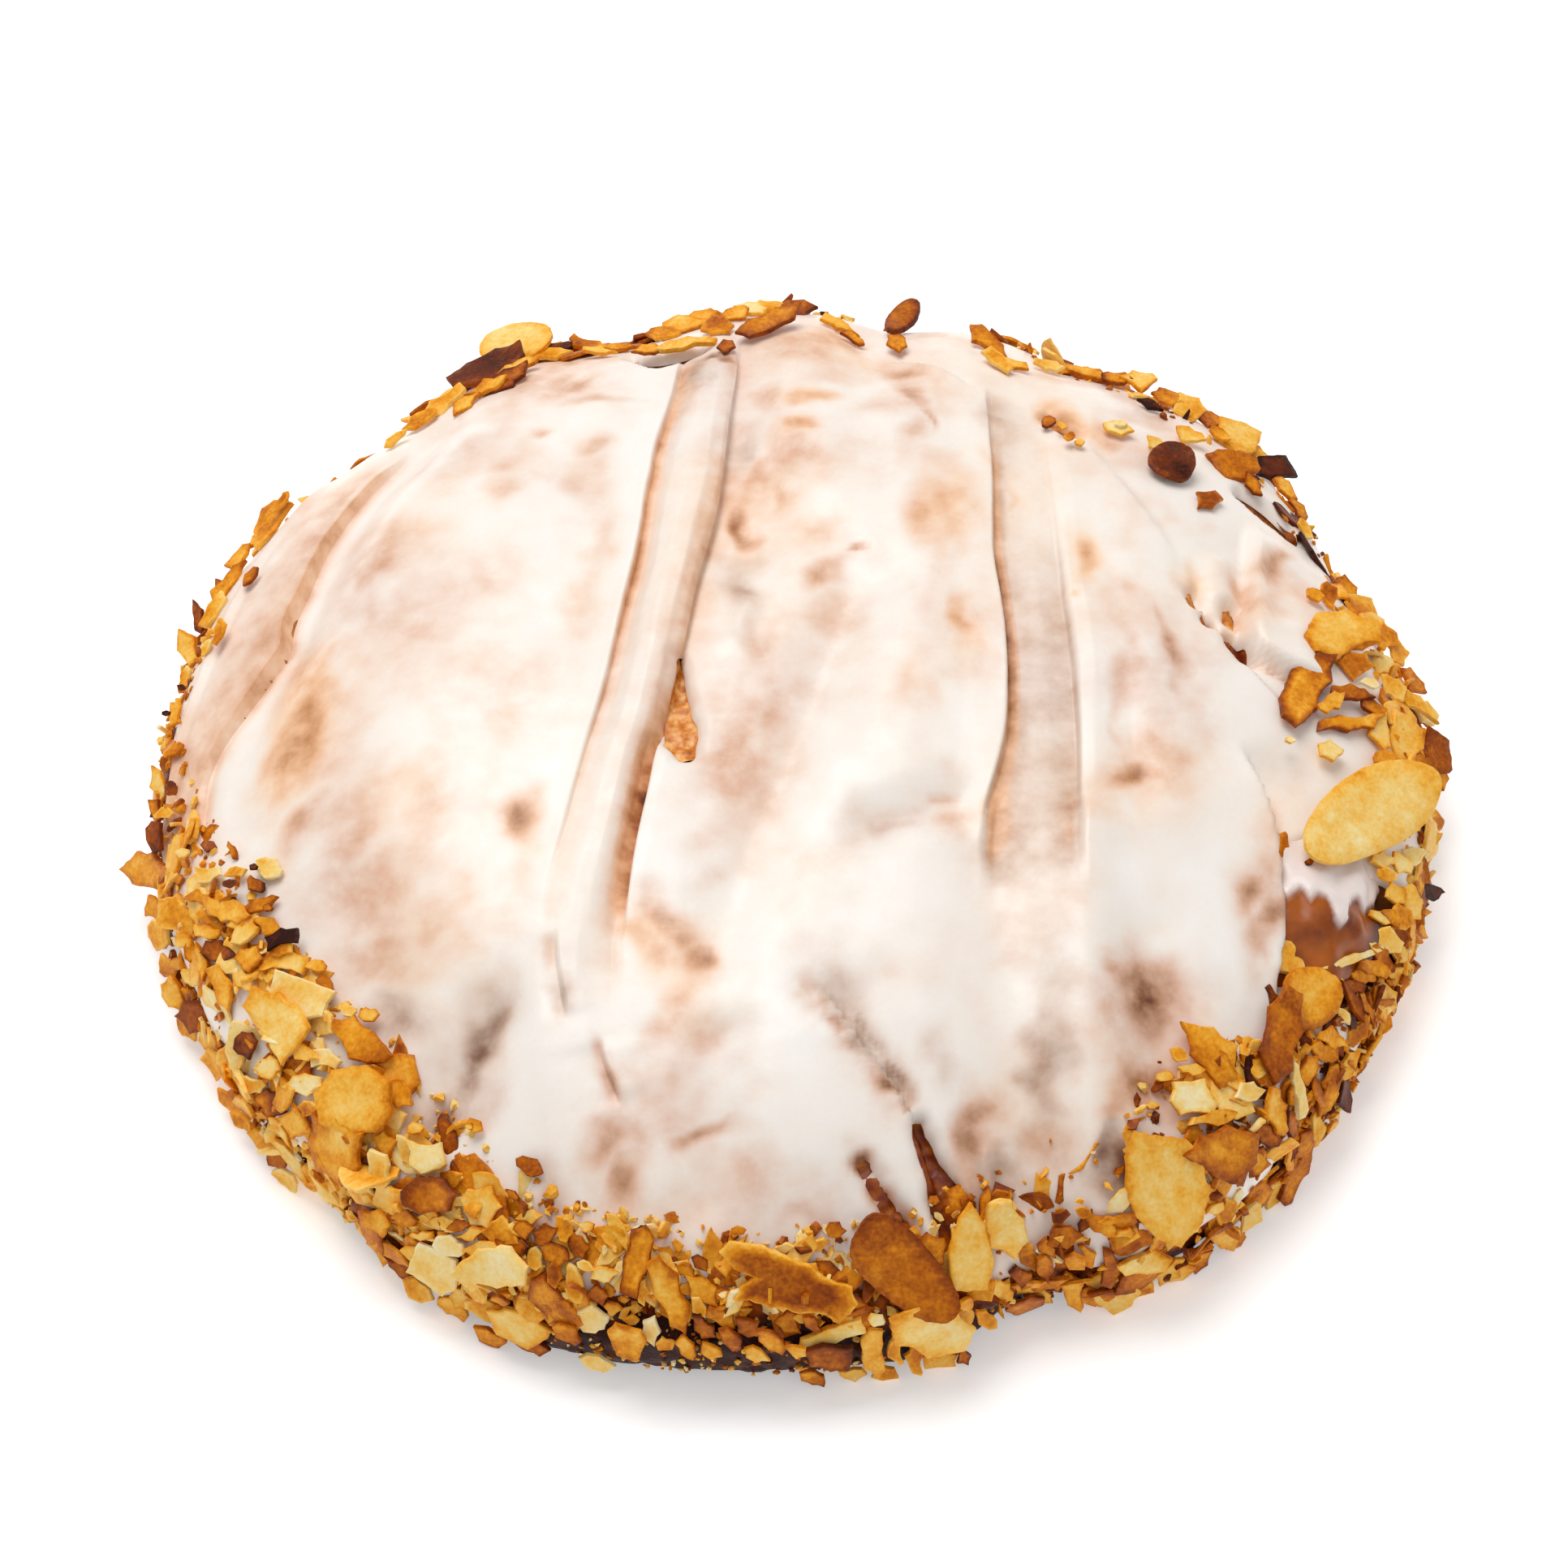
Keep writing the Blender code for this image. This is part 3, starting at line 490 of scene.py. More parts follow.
# Thin places of the icing.
# Middle in plan, half sizes along and across, turn in degrees, how thin.
rosePatches = [
    (-50, 21, 6, 5, 80, 0.5), (-50.5, 25.5, 1.8, 1.5, 0, 0.45), (-51.5, 16, 2.0, 1.4, 0, 0.3),
    (-57.5, -17, 4, 3, 70, 0.5), (-51.5, -19, 5, 4, 60, 0.45), (-50, -27, 7, 6, 0, 0.4),
    (-48, -36, 5, 4, 0, 0.5), (-42, -18, 8, 4, 80, 0.32), (-44, 12, 8, 5, 80, 0.3),
    (-39, 0, 6, 5, 0, 0.24), (-37, 16, 3, 2.4, 0, 0.3), (-34.5, 30.5, 4, 2.5, 90, 0.42),
    (-32, 42, 1.6, 1.2, 0, 0.4), (-25.5, 38.5, 2.6, 2, 0, 0.45), (-24.5, 31, 6, 2.6, 90, 0.32),
    (-27, 52, 5, 3, 10, 0.5), (-25, 48, 4.5, 1.8, 0, 0.5), (-29, 59, 5, 3.5, 90, 0.42),
    (-23.5, 22, 7, 2.4, 90, 0.32), (-26, 11, 5, 2.6, 90, 0.36), (-34, -5, 5, 2.6, 100, 0.3),
    (-31, -20, 3.2, 1.4, 100, 0.75), (-5, 34, 5, 3, 90, 0.42), (-2.2, 30, 4, 2, 90, 0.48),
    (-6.9, 25.4, 4.2, 1.5, 98, 0.8), (-14.6, -34.8, 3.4, 2.4, 135, 0.6),
    (-11.6, -38.6, 2.4, 1.8, 135, 0.72), (-15.8, -32.6, 1.8, 1.6, 0, 0.6),
    (20.4, -58.0, 6, 3.4, 80, 0.78), (20.6, -59.5, 2.0, 1.5, 0, 0.92), (-7, -12, 8, 4.5, 100, 0.46),
    (-2, -6, 6, 2.8, 90, 0.45), (-5, -22, 6, 3.6, 90, 0.32), (0, 59, 6, 5, 0, 0.42),
    (-4, 47, 3, 2.4, 90, 0.42), (15.5, 48, 3.4, 1.2, 120, 0.55), (12.5, 54, 4.5, 2, 135, 0.5),
    (12, 46, 5, 4, 0, 0.36), (17, 43, 3, 1.0, 90, 0.5), (3, 15, 2.2, 1.6, 40, 0.7),
    (6.5, 19, 0.8, 0.6, 0, 0.75), (5, 10, 3, 3, 0, 0.34), (2, 21, 4, 4, 0, 0.32),
    (15, -3, 7, 3, 95, 0.3), (17.3, -17.0, 2.0, 1.3, 0, 0.42), (19, -20.5, 3, 2.6, 0, 0.36),
    (1, -2, 4, 2, 90, 0.3), (34, 20, 6, 3, 100, 0.3), (38, 12, 5, 2.5, 90, 0.34),
    (44.5, 6, 6, 1.3, 95, 0.52), (39, 1, 6, 1.5, 92, 0.42), (40, -14, 3, 2.3, 30, 0.8),
    (38.5, -8, 3, 1.5, 90, 0.36), (38, 43, 4, 3, 0, 0.42), (45, 48, 4, 3, 0, 0.3),
    (50, 29, 3, 2, 0, 0.2), (58.5, 24, 6, 1.7, 85, 0.62), (56, 17, 5, 1.4, 90, 0.45),
    (52.6, -27, 4, 2.2, 90, 0.68), (54, -33, 3.4, 1.4, 90, 0.5), (40, -41, 4.5, 4, 0, 0.8),
    (36, -40, 2.2, 2, 0, 0.55), (39, -50.5, 4.4, 3, 0, 0.8), (36, -54, 4, 1.8, 90, 0.55),
    (44, -46, 3, 3, 0, 0.4), (-14, -46, 6, 2, 80, 0.4), (-12, -50, 3, 2, 0, 0.42),
    (-21, -55, 3, 1.2, 100, 0.6), (-20, -61, 2.6, 2, 0, 0.5), (-19, -65, 3.2, 2, 90, 0.72),
    (-10.5, -61, 4, 1.5, 0, 0.55), (-14, -59, 5, 3, 0, 0.36), (-5, -65, 5, 3, 0, 0.36),
    (0, -67, 5, 2, 0, 0.36), (4, -26, 4, 3, 0, 0.16), (-44, 48, 4, 4, 0, 0.2), (46, 18, 3, 2, 90, 0.25),
    (-13, 12, 3, 1.0, 90, 0.2),
]
orangePatches = [
    (-59, -3, 9, 3.4, 80, 0.62), (-56.5, 5, 4, 2.4, 60, 0.5), (-60, -9, 3, 3, 0, 0.4),
    (17, 25, 7, 3.4, 92, 0.48), (20, 8, 5, 2, 95, 0.42), (34.5, 20.5, 3.4, 2, 100, 0.6),
    (33.2, 13, 1.0, 0.9, 0, 0.4), (33.5, 45.5, 3.6, 2.2, 120, 0.7), (2, 47, 4, 1.5, 0, 0.5),
    (0, 41, 3.2, 1.6, 0, 0.55), (23.3, -17, 3, 1.6, 80, 0.6), (-17, -36.5, 3, 1.6, 90, 0.4),
    (6, 60, 4, 3, 0, 0.32), (48, 18.5, 3, 1.6, 90, 0.45), (25, 31, 7, 1.2, 90, 0.3),
    (46, -42, 2, 2, 0, 0.3), (-46, -16, 6, 3, 70, 0.22),
]
# Grey ones: thin icing in dents and on the front, greyed as painted shade.
greyShadePatches = [
    (-45, -44, 6, 2.8, 150, 0.42), (-35.3, -48, 5, 2.0, 75, 0.78), (-39.5, -54.2, 3.6, 1.9, 15, 0.7),
    (-7.5, 14, 6, 2, 92, 0.4), (-7, 36, 4, 2, 90, 0.35), (26, 44, 3, 2.4, 90, 0.35),
    (11, -21, 6, 2.6, 25, 0.34), (5, -43, 5, 3.6, 90, 0.3), (6, -47.5, 3.4, 1.5, 125, 0.62),
    (9.6, -53, 3, 1.0, 128, 0.8), (21, -62, 5, 2.4, 90, 0.4), (24, -62.5, 3, 3, 0, 0.5),
    (28, -50, 9, 2.2, 90, 0.45), (35.5, -60, 5, 1.5, 90, 0.7), (-27, -45, 3, 1.3, 100, 0.45),
    (-27, -65, 3, 2, 90, 0.42), (-44, 40, 6, 3.5, 60, 0.2), (32.4, -20, 3, 1.2, 90, 0.3),
    (-11, 52, 4.5, 2.6, 80, 0.42), (16, -51, 4, 3, 90, 0.3), (-66, 30, 8, 2, 65, 0.2),
]


# Brown along grooves and under overhanging sheet edges, partly crust through thin icing and partly
# painted shade: route in plan, half-width in mm, how thin.
grooveStainsAndShade = [
    ([(2.0, -44.4), (3.9, -46.8), (6.7, -50.6), (9.9, -54.9), (12.5, -58.0)], 1.4, 0.6),
    ([(0, -41), (4.5, -46.2), (10.6, -54.3), (13.5, -58)], 2.9, 0.42),
    ([(4.2, -47.3), (5.8, -49.5)], 1.2, 0.8),
    ([(11.5, -56.2), (12.6, -57.7)], 0.9, 0.9),
    ([(54.0, 24), (54.0, 16.9), (53.6, 10.8)], 1.2, 0.3),
    ([(55.0, 7.4), (57.5, 5.9), (60.5, 4.6), (64, 4.2)], 0.8, 0.5),
    ([(49.3, 12.9), (51.9, 9.9), (54.5, 5.5), (58, 2)], 0.7, 0.35),
    ([(51.0, 10.9), (53.2, 10.6)], 0.9, 0.6),
    ([(6.6, -61.6), (8.7, -65.0), (11.2, -68.0), (12.6, -70)], 1.7, 0.72),
    ([(56.3, -18), (57.4, -25), (57.2, -32)], 1.6, 0.55),
    ([(-22.3, -49), (-21.4, -52.5), (-19.3, -57)], 0.8, 0.5),
    ([(-28.2, -36), (-27.2, -42), (-26, -47)], 1.2, 0.3),
    ([(-13.9, 53.5), (-9.5, 56.5), (-7.4, 53)], 1.4, 0.6),
]


def grooveStainAndShadeField(unrolled):
    field = np.zeros(len(unrolled))
    flow = np.c_[unrolled, np.zeros(len(unrolled))]
    broken = np.clip(0.85 + 0.5 * softNoise(flow, 1.5, 22), 0.2, 1.3)
    for route, halfWidth, amount in grooveStainsAndShade:
        away, share, _ = alongRoute(unrolled, smoothRoute(route))
        ends = ease(0.0, 0.12, share) * ease(0.0, 0.12, 1.0 - share)
        field = np.maximum(field, amount * bell(away, halfWidth) * (0.25 + 0.75 * ends) * broken)
    return field


# Wide soft tints over whole panels, partly thin icing and partly painted shade where panels turn away
# from the light: x and y in the 1932 pixel view, half sizes along and across there, turn in degrees
# (clockwise), how thin.
tintsAndPaintedShade = [
    (470, 720, 100, 60, -60, 0.34), (400, 880, 110, 70, -70, 0.42), (460, 1010, 130, 90, 70, 0.36),
    (520, 1160, 90, 120, 0, 0.28), (600, 560, 110, 60, 60, 0.32), (700, 480, 120, 45, 10, 0.34),
    (650, 660, 70, 90, 0, 0.22), (640, 860, 34, 70, 20, 0.24), (910, 640, 60, 110, 0, 0.42),
    (960, 560, 90, 60, 0, 0.34), (945, 840, 62, 130, 15, 0.42), (885, 1010, 52, 120, 15, 0.36),
    (1030, 480, 100, 50, 0, 0.32), (1130, 520, 60, 70, 0, 0.34), (1160, 660, 50, 120, 0, 0.38),
    (1190, 820, 50, 110, 5, 0.3), (1170, 970, 60, 60, 0, 0.26), (1400, 700, 60, 130, -10, 0.3),
    (1420, 880, 70, 130, 0, 0.36), (1480, 760, 60, 80, 0, 0.24), (1400, 540, 70, 60, 30, 0.3),
    (1330, 1010, 60, 60, 0, 0.2), (1560, 1100, 30, 110, 5, 0.62), (1410, 1250, 100, 110, 20, 0.46),
    (1400, 1370, 90, 90, 0, 0.52), (1560, 740, 60, 60, 0, 0.3), (850, 1370, 110, 120, 20, 0.28),
    (800, 1490, 130, 70, 10, 0.34), (960, 1480, 110, 60, 0, 0.26), (1220, 1410, 60, 110, 0, 0.46),
    (1290, 1400, 60, 120, 0, 0.42), (1250, 1290, 60, 80, 0, 0.26), (820, 1170, 70, 60, 30, 0.34),
    (640, 1090, 30, 120, 10, 0.16), (560, 1290, 90, 60, 0, 0.24), (1100, 1180, 90, 60, 20, 0.12),
    (318, 720, 22, 150, 32, 0.34), (250, 930, 24, 100, 15, 0.24), (340, 990, 50, 50, 0, 0.3),
]


def tintAndShadeField(points):
    # These tints and painted shade as seen from the camera; the far side has its own.
    places = seenAt(points)
    drift = np.stack([softNoise(points, 9.0, 15), softNoise(points, 9.0, 16)], 1)
    shove = np.stack([softNoise(points, 3.5, 17), softNoise(points, 3.5, 18)], 1)
    places = places + 26.0 * drift + 14.0 * shove
    field = np.zeros(len(points))
    for x, y, along, across, turn, amount in tintsAndPaintedShade:
        forward, aside = turned(places - (x, y), -turn)
        u, v = forward / along, aside / across
        field = np.maximum(field, amount * np.exp(-(u * u + v * v)))
    cloud = 0.75 + 0.5 * softNoise(points, 5.0, 19) + 0.3 * softNoise(points, 2.2, 20)
    return field * np.clip(cloud, 0.15, 1.5)


def patchField(unrolled, patches):
    field = np.zeros(len(unrolled))
    flow = np.c_[unrolled, np.zeros(len(unrolled))]
    shove = np.stack([softNoise(flow, 3.2, 11), softNoise(flow, 3.2, 12)], 1)
    drift = np.stack([softNoise(flow, 8.0, 13), softNoise(flow, 8.0, 14)], 1)
    bent = unrolled + 1.3 * shove + 1.5 * drift
    for x, y, along, across, turn, amount in patches:
        forward, aside = turned(bent - flat([(x, y)])[0], -turn)
        u, v = forward / along, aside / across
        away = u * u + v * v
        core = np.maximum(field, amount * np.exp(-away * 0.9))
        field = core + 0.3 * amount * np.exp(-away * 0.35) * (1.0 - field)
    return np.clip(field, 0.0, 1.0)


# The almond rim's reach.
rim = {
    "low": 1.0, "reach": 24.0,
    "bareBase": (257, 15, 1.2),     # direction, half-width, mm by which the base shows under it
    "bareFoot": (264, 21, 10.5),    # the same for the dark foot, with crumbs but no slices
    # direction, half-width in degrees, change of reach
    "edge": [(262, 26, -2.0), (222, 22, 3.0), (168, 24, -8.0), (138, 14, -9.0), (90, 30, -5.0),
             (77, 9, -7.0), (20, 11, -6.0), (-20, 15, -13.0), (-50, 14, 3.0)],
}


def rimLow(degrees):
    direction, halfWidth, bare = rim["bareBase"]
    return rim["low"] + bare * bell(turnedBy(degrees, direction), halfWidth)


def footHeight(degrees):
    direction, halfWidth, height = rim["bareFoot"]
    return height * bell(turnedBy(degrees, direction), halfWidth)


def rimReach(degrees):
    angle = np.radians(degrees)
    ring = np.stack([np.cos(angle), np.sin(angle), np.zeros(len(angle))], 1) * 76.0
    reach = rim["reach"] + 1.5 * softNoise(ring, 6.5, 21)
    for direction, halfWidth, change in rim["edge"]:
        reach = reach + change * bell(turnedBy(degrees, direction), halfWidth)
    return reach


# Making meshes.
def addPiece(name, points, faces, material, values=None, replaced=(), smooth=True,
             crisp=0):
    mesh = bpy.data.meshes.new(name)
    shift = np.array(placing["shift"])
    points = (np.asarray(points, float) + shift) * mm
    faces = np.asarray(faces)
    if faces.ndim == 2 and faces.dtype != object:
        size = faces.shape[1]
        mesh.vertices.add(len(points))
        mesh.vertices.foreach_set("co", points.ravel())
        mesh.loops.add(faces.size)
        mesh.loops.foreach_set("vertex_index", faces.ravel())
        mesh.polygons.add(len(faces))
        mesh.polygons.foreach_set("loop_start", np.arange(0, faces.size, size))
        mesh.update(calc_edges=True)
    else:
        mesh.from_pydata([tuple(point) for point in points], [], [tuple(face) for face in faces])
    for key, value in (values or {}).items():
        layer = mesh.attributes.new(key, "FLOAT", "POINT")
        layer.data.foreach_set("value", np.asarray(value, np.float32))
    mesh.validate()
    mesh.polygons.foreach_set("use_smooth", [smooth] * len(mesh.polygons))
    if crisp:
        mesh.set_sharp_from_angle(angle=math.radians(crisp))
    mesh.materials.append(material)
    thing = bpy.data.objects.new(name, mesh)
    bpy.context.scene.collection.objects.link(thing)
    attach(thing, "root")
    if replaced:
        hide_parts(*replaced)
    return thing


def gridFaces(rows, columns, wrap=False):
    row = np.arange(rows - 1)[:, None]
    column = np.arange(columns if wrap else columns - 1)[None, :]
    after = (column + 1) % columns
    quads = np.stack([row * columns + column, row * columns + after,
                      (row + 1) * columns + after, (row + 1) * columns + column], -1)
    return quads.reshape(-1, 4)


def closedFaces(rows, count):
    # A tube of rings as triangles, closed by the two points that come after them.
    quads = gridFaces(rows, count, wrap=True)[:, ::-1]
    first = np.arange(count)
    after = (first + 1) % count
    last = (rows - 1) * count
    top = np.stack([first, after, np.full(count, rows * count)], 1)
    low = np.stack([last + after, last + first, np.full(count, rows * count + 1)], 1)
    return np.concatenate([quads[:, [0, 1, 2]], quads[:, [0, 2, 3]], top, low])


def usedOnly(points, faces, values):
    # Leaves out points that no face uses.
    used = np.zeros(len(points), bool)
    used[faces.ravel()] = True
    order = np.cumsum(used) - 1
    return points[used], order[faces], {key: value[used] for key, value in values.items()}


# Materials.
def linear(code, alpha=1.0):
    levels = [int(code[place:place + 2], 16) / 255.0 for place in (1, 3, 5)]
    return tuple(level / 12.92 if level <= 0.04045 else ((level + 0.055) / 1.055) ** 2.4
                 for level in levels) + (alpha,)


def addNode(tree, kind, settings=None, values=None, links=None):
    # A node with its settings, its own values and its links; stops are a ramp's colours.
    node = tree.nodes.new(kind)
    for key, value in (settings or {}).items():
        if key == "stops":
            while len(node.color_ramp.elements) < len(value):
                node.color_ramp.elements.new(0.5)
            for element, (place, colour) in zip(node.color_ramp.elements, value):
                element.position = place
                element.color = colour if not isinstance(colour, str) else linear(colour)
        else:
            setattr(node, key, value)
    for key, value in (values or {}).items():
        node.inputs[key].default_value = value
    for key, source in (links or {}).items():
        tree.links.new(source, node.inputs[key])
    return node


def newMaterial(name):
    material = bpy.data.materials.new(name)
    material.use_nodes = True
    tree = material.node_tree
    tree.nodes.clear()
    return material, tree, addNode(tree, "ShaderNodeTexCoord").outputs["Object"]


def finishMaterial(material, values, links):
    tree = material.node_tree
    shader = addNode(tree, "ShaderNodeBsdfPrincipled", {}, values, links)
    addNode(tree, "ShaderNodeOutputMaterial", {}, {}, {"Surface": shader.outputs[0]})
    return material


def readNode(tree, name):
    return addNode(tree, "ShaderNodeAttribute", {"attribute_name": name}).outputs["Fac"]


def noiseNode(tree, place, size, detail, roughness=0.5):
    # Noise with lumps of about this size in mm.
    values = {"Scale": 1000 / size, "Detail": detail, "Roughness": roughness}
    return addNode(tree, "ShaderNodeTexNoise", {}, values, {"Vector": place}).outputs["Fac"]


def rangeNode(tree, value, low, high, start=0.3, end=0.7):
    limits = {"From Min": start, "From Max": end, "To Min": low, "To Max": high}
    return addNode(tree, "ShaderNodeMapRange", {}, limits, {"Value": value}).outputs["Result"]


def mathNode(tree, operation, first, second, clamped=False):
    settings = {"operation": operation, "use_clamp": clamped}
    return addNode(tree, "ShaderNodeMath", settings, {}, {0: first, 1: second}).outputs[0]


def rampNode(tree, stops, amount):
    return addNode(tree, "ShaderNodeValToRGB", {"stops": stops}, {}, {"Fac": amount}).outputs["Color"]


def mixNode(tree, share, first, second):
    # The second colour is a socket or a code.
    values, links = {}, {0: share, 6: first}
    if isinstance(second, str):
        values[7] = linear(second)
    else:
        links[7] = second
    return addNode(tree, "ShaderNodeMix", {"data_type": "RGBA"}, values, links).outputs[2]


def bumpNode(tree, height, strength, depth):
    # Relief of this depth in mm.
    values = {"Strength": strength, "Distance": depth * mm}
    return addNode(tree, "ShaderNodeBump", {}, values, {"Height": height}).outputs["Normal"]


# Sugar icing, poured and set: satin white where it pooled, thin and pinkish over the crust.
icing = {
    "thickness": 0.85,       # mm where it pooled
    "mottleSize": 3.2,       # mm, the patchiness over the crust
    "grainSize": 0.7,        # mm
    "roughness": 0.36,
    "lowEdge": 8.0,          # mm up the slope, where the coat ends under the almonds
    "thinLoss": 0.55,        # share of the thickness lost where it is thinnest
    "edgeRound": 1.3, "edgeDip": 0.7,        # mm, the rounding of an edge and how far it dips
    "mostPull": 1.6, "mostGrowth": 0.55,     # mm, where the edge is drawn in
    "patchStrength": 0.78, "pleatStrength": 0.88, "sunkStripShade": 0.6,
    # The ramps run from pooled to thinnest icing; where the thinness carries painted shade, they paint
    # that shade too.
    "plain": [(0.0, "#F9F4EE"), (0.16, "#F4E9DF"), (0.34, "#EBD3C4"), (0.52, "#DDB49C"), (0.72, "#B98B6C"),
              (0.88, "#8A573A"), (1.0, "#4A1D0C")],
    "warm": [(0.0, "#F9F3ED"), (0.16, "#F7E6D5"), (0.34, "#F6D2B2"), (0.52, "#E9B68D"), (0.72, "#C98D5E"),
             (0.88, "#A3602C"), (1.0, "#6A3210")],
    # The grey ramp is the thin icing's shaded copy: painted shade.
    "grey": [(0.0, "#F9F3ED"), (0.16, "#EDE1D8"), (0.34, "#D9C6B8"), (0.52, "#BDA08D"), (0.72, "#94705B"),
             (0.88, "#6F4C3C"), (1.0, "#3C1208")],
}


def icingMaterial():
    material, tree, place = newMaterial("set_sugar_icing")
    mottle = noiseNode(tree, place, icing["mottleSize"], 3.0)
    fine = noiseNode(tree, place, icing["grainSize"], 2.0)
    spread = mathNode(tree, "MULTIPLY", readNode(tree, "thin"), rangeNode(tree, mottle, 0.76, 1.22))
    amount = mathNode(tree, "ADD", spread, rangeNode(tree, fine, -0.014, 0.014), True)
    plain, warm, grey = (rampNode(tree, icing[name], amount) for name in ("plain", "warm", "grey"))
    warmed = mixNode(tree, readNode(tree, "warm"), plain, warm)
    roughness = icing["roughness"]
    return finishMaterial(material, {
        "IOR": 1.45, "Subsurface Weight": 0.12, "Subsurface Radius": (1.0, 0.75, 0.6),
        "Subsurface Scale": 0.8 * mm,
    }, {
        "Base Color": mixNode(tree, readNode(tree, "grey"), warmed, grey),
        "Roughness": rangeNode(tree, mottle, roughness - 0.06, roughness + 0.10),
        "Normal": bumpNode(tree, fine, 0.14, 0.12),
    })


# Torn dough in the openings: sticky, amber, down to dark red-brown in the depth, which is painted shade.
tornDough = {
    "stops": [
        (0.0, "#F0B470"), (0.22, "#D07A1C"), (0.45, "#A04E0A"), (0.7, "#7A2A08"), (1.0, "#581404"),
    ],
    "mottleSize": 1.3,
    "roughness": 0.4,
}


def tornDoughMaterial():
    material, tree, place = newMaterial("torn_sticky_dough")
    mottle = noiseNode(tree, place, tornDough["mottleSize"], 4.0)
    depth = mathNode(tree, "ADD", readNode(tree, "deep"), rangeNode(tree, mottle, -0.24, 0.24), True)
    return finishMaterial(material, {"IOR": 1.45, "Roughness": tornDough["roughness"]}, {
        "Base Color": rampNode(tree, tornDough["stops"], depth),
        "Normal": bumpNode(tree, mottle, 0.5, 0.2),
    })


# Baked dough: matt golden crust, nearly black where it sat on the tray, syrupy in the splits.
dough = {
    "pale": "#B9752F", "brown": "#8A4A1C", "base": "#3A1A0A", "syrup": "#A8650A", "syrupDark": "#4A1C06",
    "mottleSize": 3.0, "grainSize": 0.6,
}


def doughMaterial():
    material, tree, place = newMaterial("baked_crust")
    amber = readNode(tree, "amber")
    mottle = noiseNode(tree, place, dough["mottleSize"], 5.0)
    grain = noiseNode(tree, place, dough["grainSize"], 3.0)
    crust = rampNode(tree, [(0.3, dough["brown"]), (0.7, dough["pale"])], mottle)
    syrup = rampNode(tree, [(0.35, dough["syrupDark"]), (0.6, dough["syrup"])], mottle)
    baked = mixNode(tree, readNode(tree, "low"), crust, dough["base"])
    return finishMaterial(material, {"IOR": 1.45}, {
        "Base Color": mixNode(tree, amber, baked, syrup),
        "Roughness": rangeNode(tree, amber, 0.7, 0.28, 0.0, 1.0),
        "Normal": bumpNode(tree, grain, 0.6, 0.3),
    })


# Sliced almond, toasted: satin cream flesh that browns from the edge and in blisters.
almond = {
    "stops": [(0.0, "#F8E8B8"), (0.15, "#F8D684"), (0.3, "#F6BC4C"), (0.42, "#EC9C1C"), (0.55, "#CA7206"),
              (0.68, "#9E4A02"), (0.82, "#6D2B04"), (1.0, "#2E0D05")],
    "grainSize": 0.5, "mottleSize": 2.2, "roughness": 0.48,
}


def almondMaterial(name, grainDepth):
    material, tree, place = newMaterial(name)
    mottle = noiseNode(tree, place, almond["mottleSize"], 4.0, 0.6)
    grain = noiseNode(tree, place, almond["grainSize"], 3.0)
    blotched = mathNode(tree, "ADD", readNode(tree, "toast"), rangeNode(tree, mottle, -0.09, 0.09))
    amount = mathNode(tree, "ADD", blotched, rangeNode(tree, grain, -0.04, 0.04, 0.35, 0.65), True)
    return finishMaterial(material, {
        "IOR": 1.46, "Roughness": almond["roughness"], "Specular IOR Level": 0.2,
        "Subsurface Weight": 0.1, "Subsurface Radius": (1.0, 0.6, 0.3), "Subsurface Scale": 0.6 * mm,
    }, {
        "Base Color": rampNode(tree, almond["stops"], amount),
        "Normal": bumpNode(tree, grain, 0.5, grainDepth),
    })


# Fruit filling, cooked to a jam: glossy dark amber with drips of icing over it, their colour thin icing
# over the jam with painted shade.
filling = {"amber": "#A9560B", "deep": "#763004", "dark": "#481404", "drip": "#EBDDD8",
           "roughness": 0.34, "mottleSize": 4.0}


def fillingMaterial():
    material, tree, place = newMaterial("cooked_fruit_filling")
    mottle = noiseNode(tree, place, filling["mottleSize"], 5.0)
    amber = rampNode(tree, [(0.32, filling["deep"]), (0.62, filling["amber"])], mottle)
    jam = mixNode(tree, readNode(tree, "dark"), amber, filling["dark"])
    return finishMaterial(material, {
        "IOR": 1.42, "Roughness": filling["roughness"], "Subsurface Weight": 0.15,
        "Subsurface Radius": (1.0, 0.4, 0.1), "Subsurface Scale": 1.5 * mm,
    }, {"Base Color": mixNode(tree, readNode(tree, "drip"), jam, filling["drip"])})


materials = {
    "icing": icingMaterial(),
    "dough": doughMaterial(),
    "torn": tornDoughMaterial(),
    "slice": almondMaterial("toasted_almond_slice", 0.12),
    "crumb": almondMaterial("toasted_almond_crumb", 0.3),
    "filling": fillingMaterial(),
}
print("materials made")


# Dough.
doughGrid = {"turns": 400, "rows": 130, "under": 0.45}


def doughSurface(unrolled):
    gap, depth = openingDistance(unrolled, windows)
    spot, spotDepth = openingDistance(unrolled, cracks)
    hollow = depth * ease(0.4, -1.0, gap) + (spotDepth + 1.0) * ease(2.2, 0.8, spot)
    fade = foldFade(slopeTotal - np.hypot(unrolled[:, 0], unrolled[:, 1]))
    here, normal, _, _ = domeFrame(unrolled)
    height = foldHeight(unrolled) * fade - hollow
    crumb = 0.12 * softNoise(here, 1.6, 31) + 0.2 * softNoise(here, 4.5, 32)
    return here + normal * (height + crumb * ease(1.0, -1.0, gap))[:, None], gap, depth


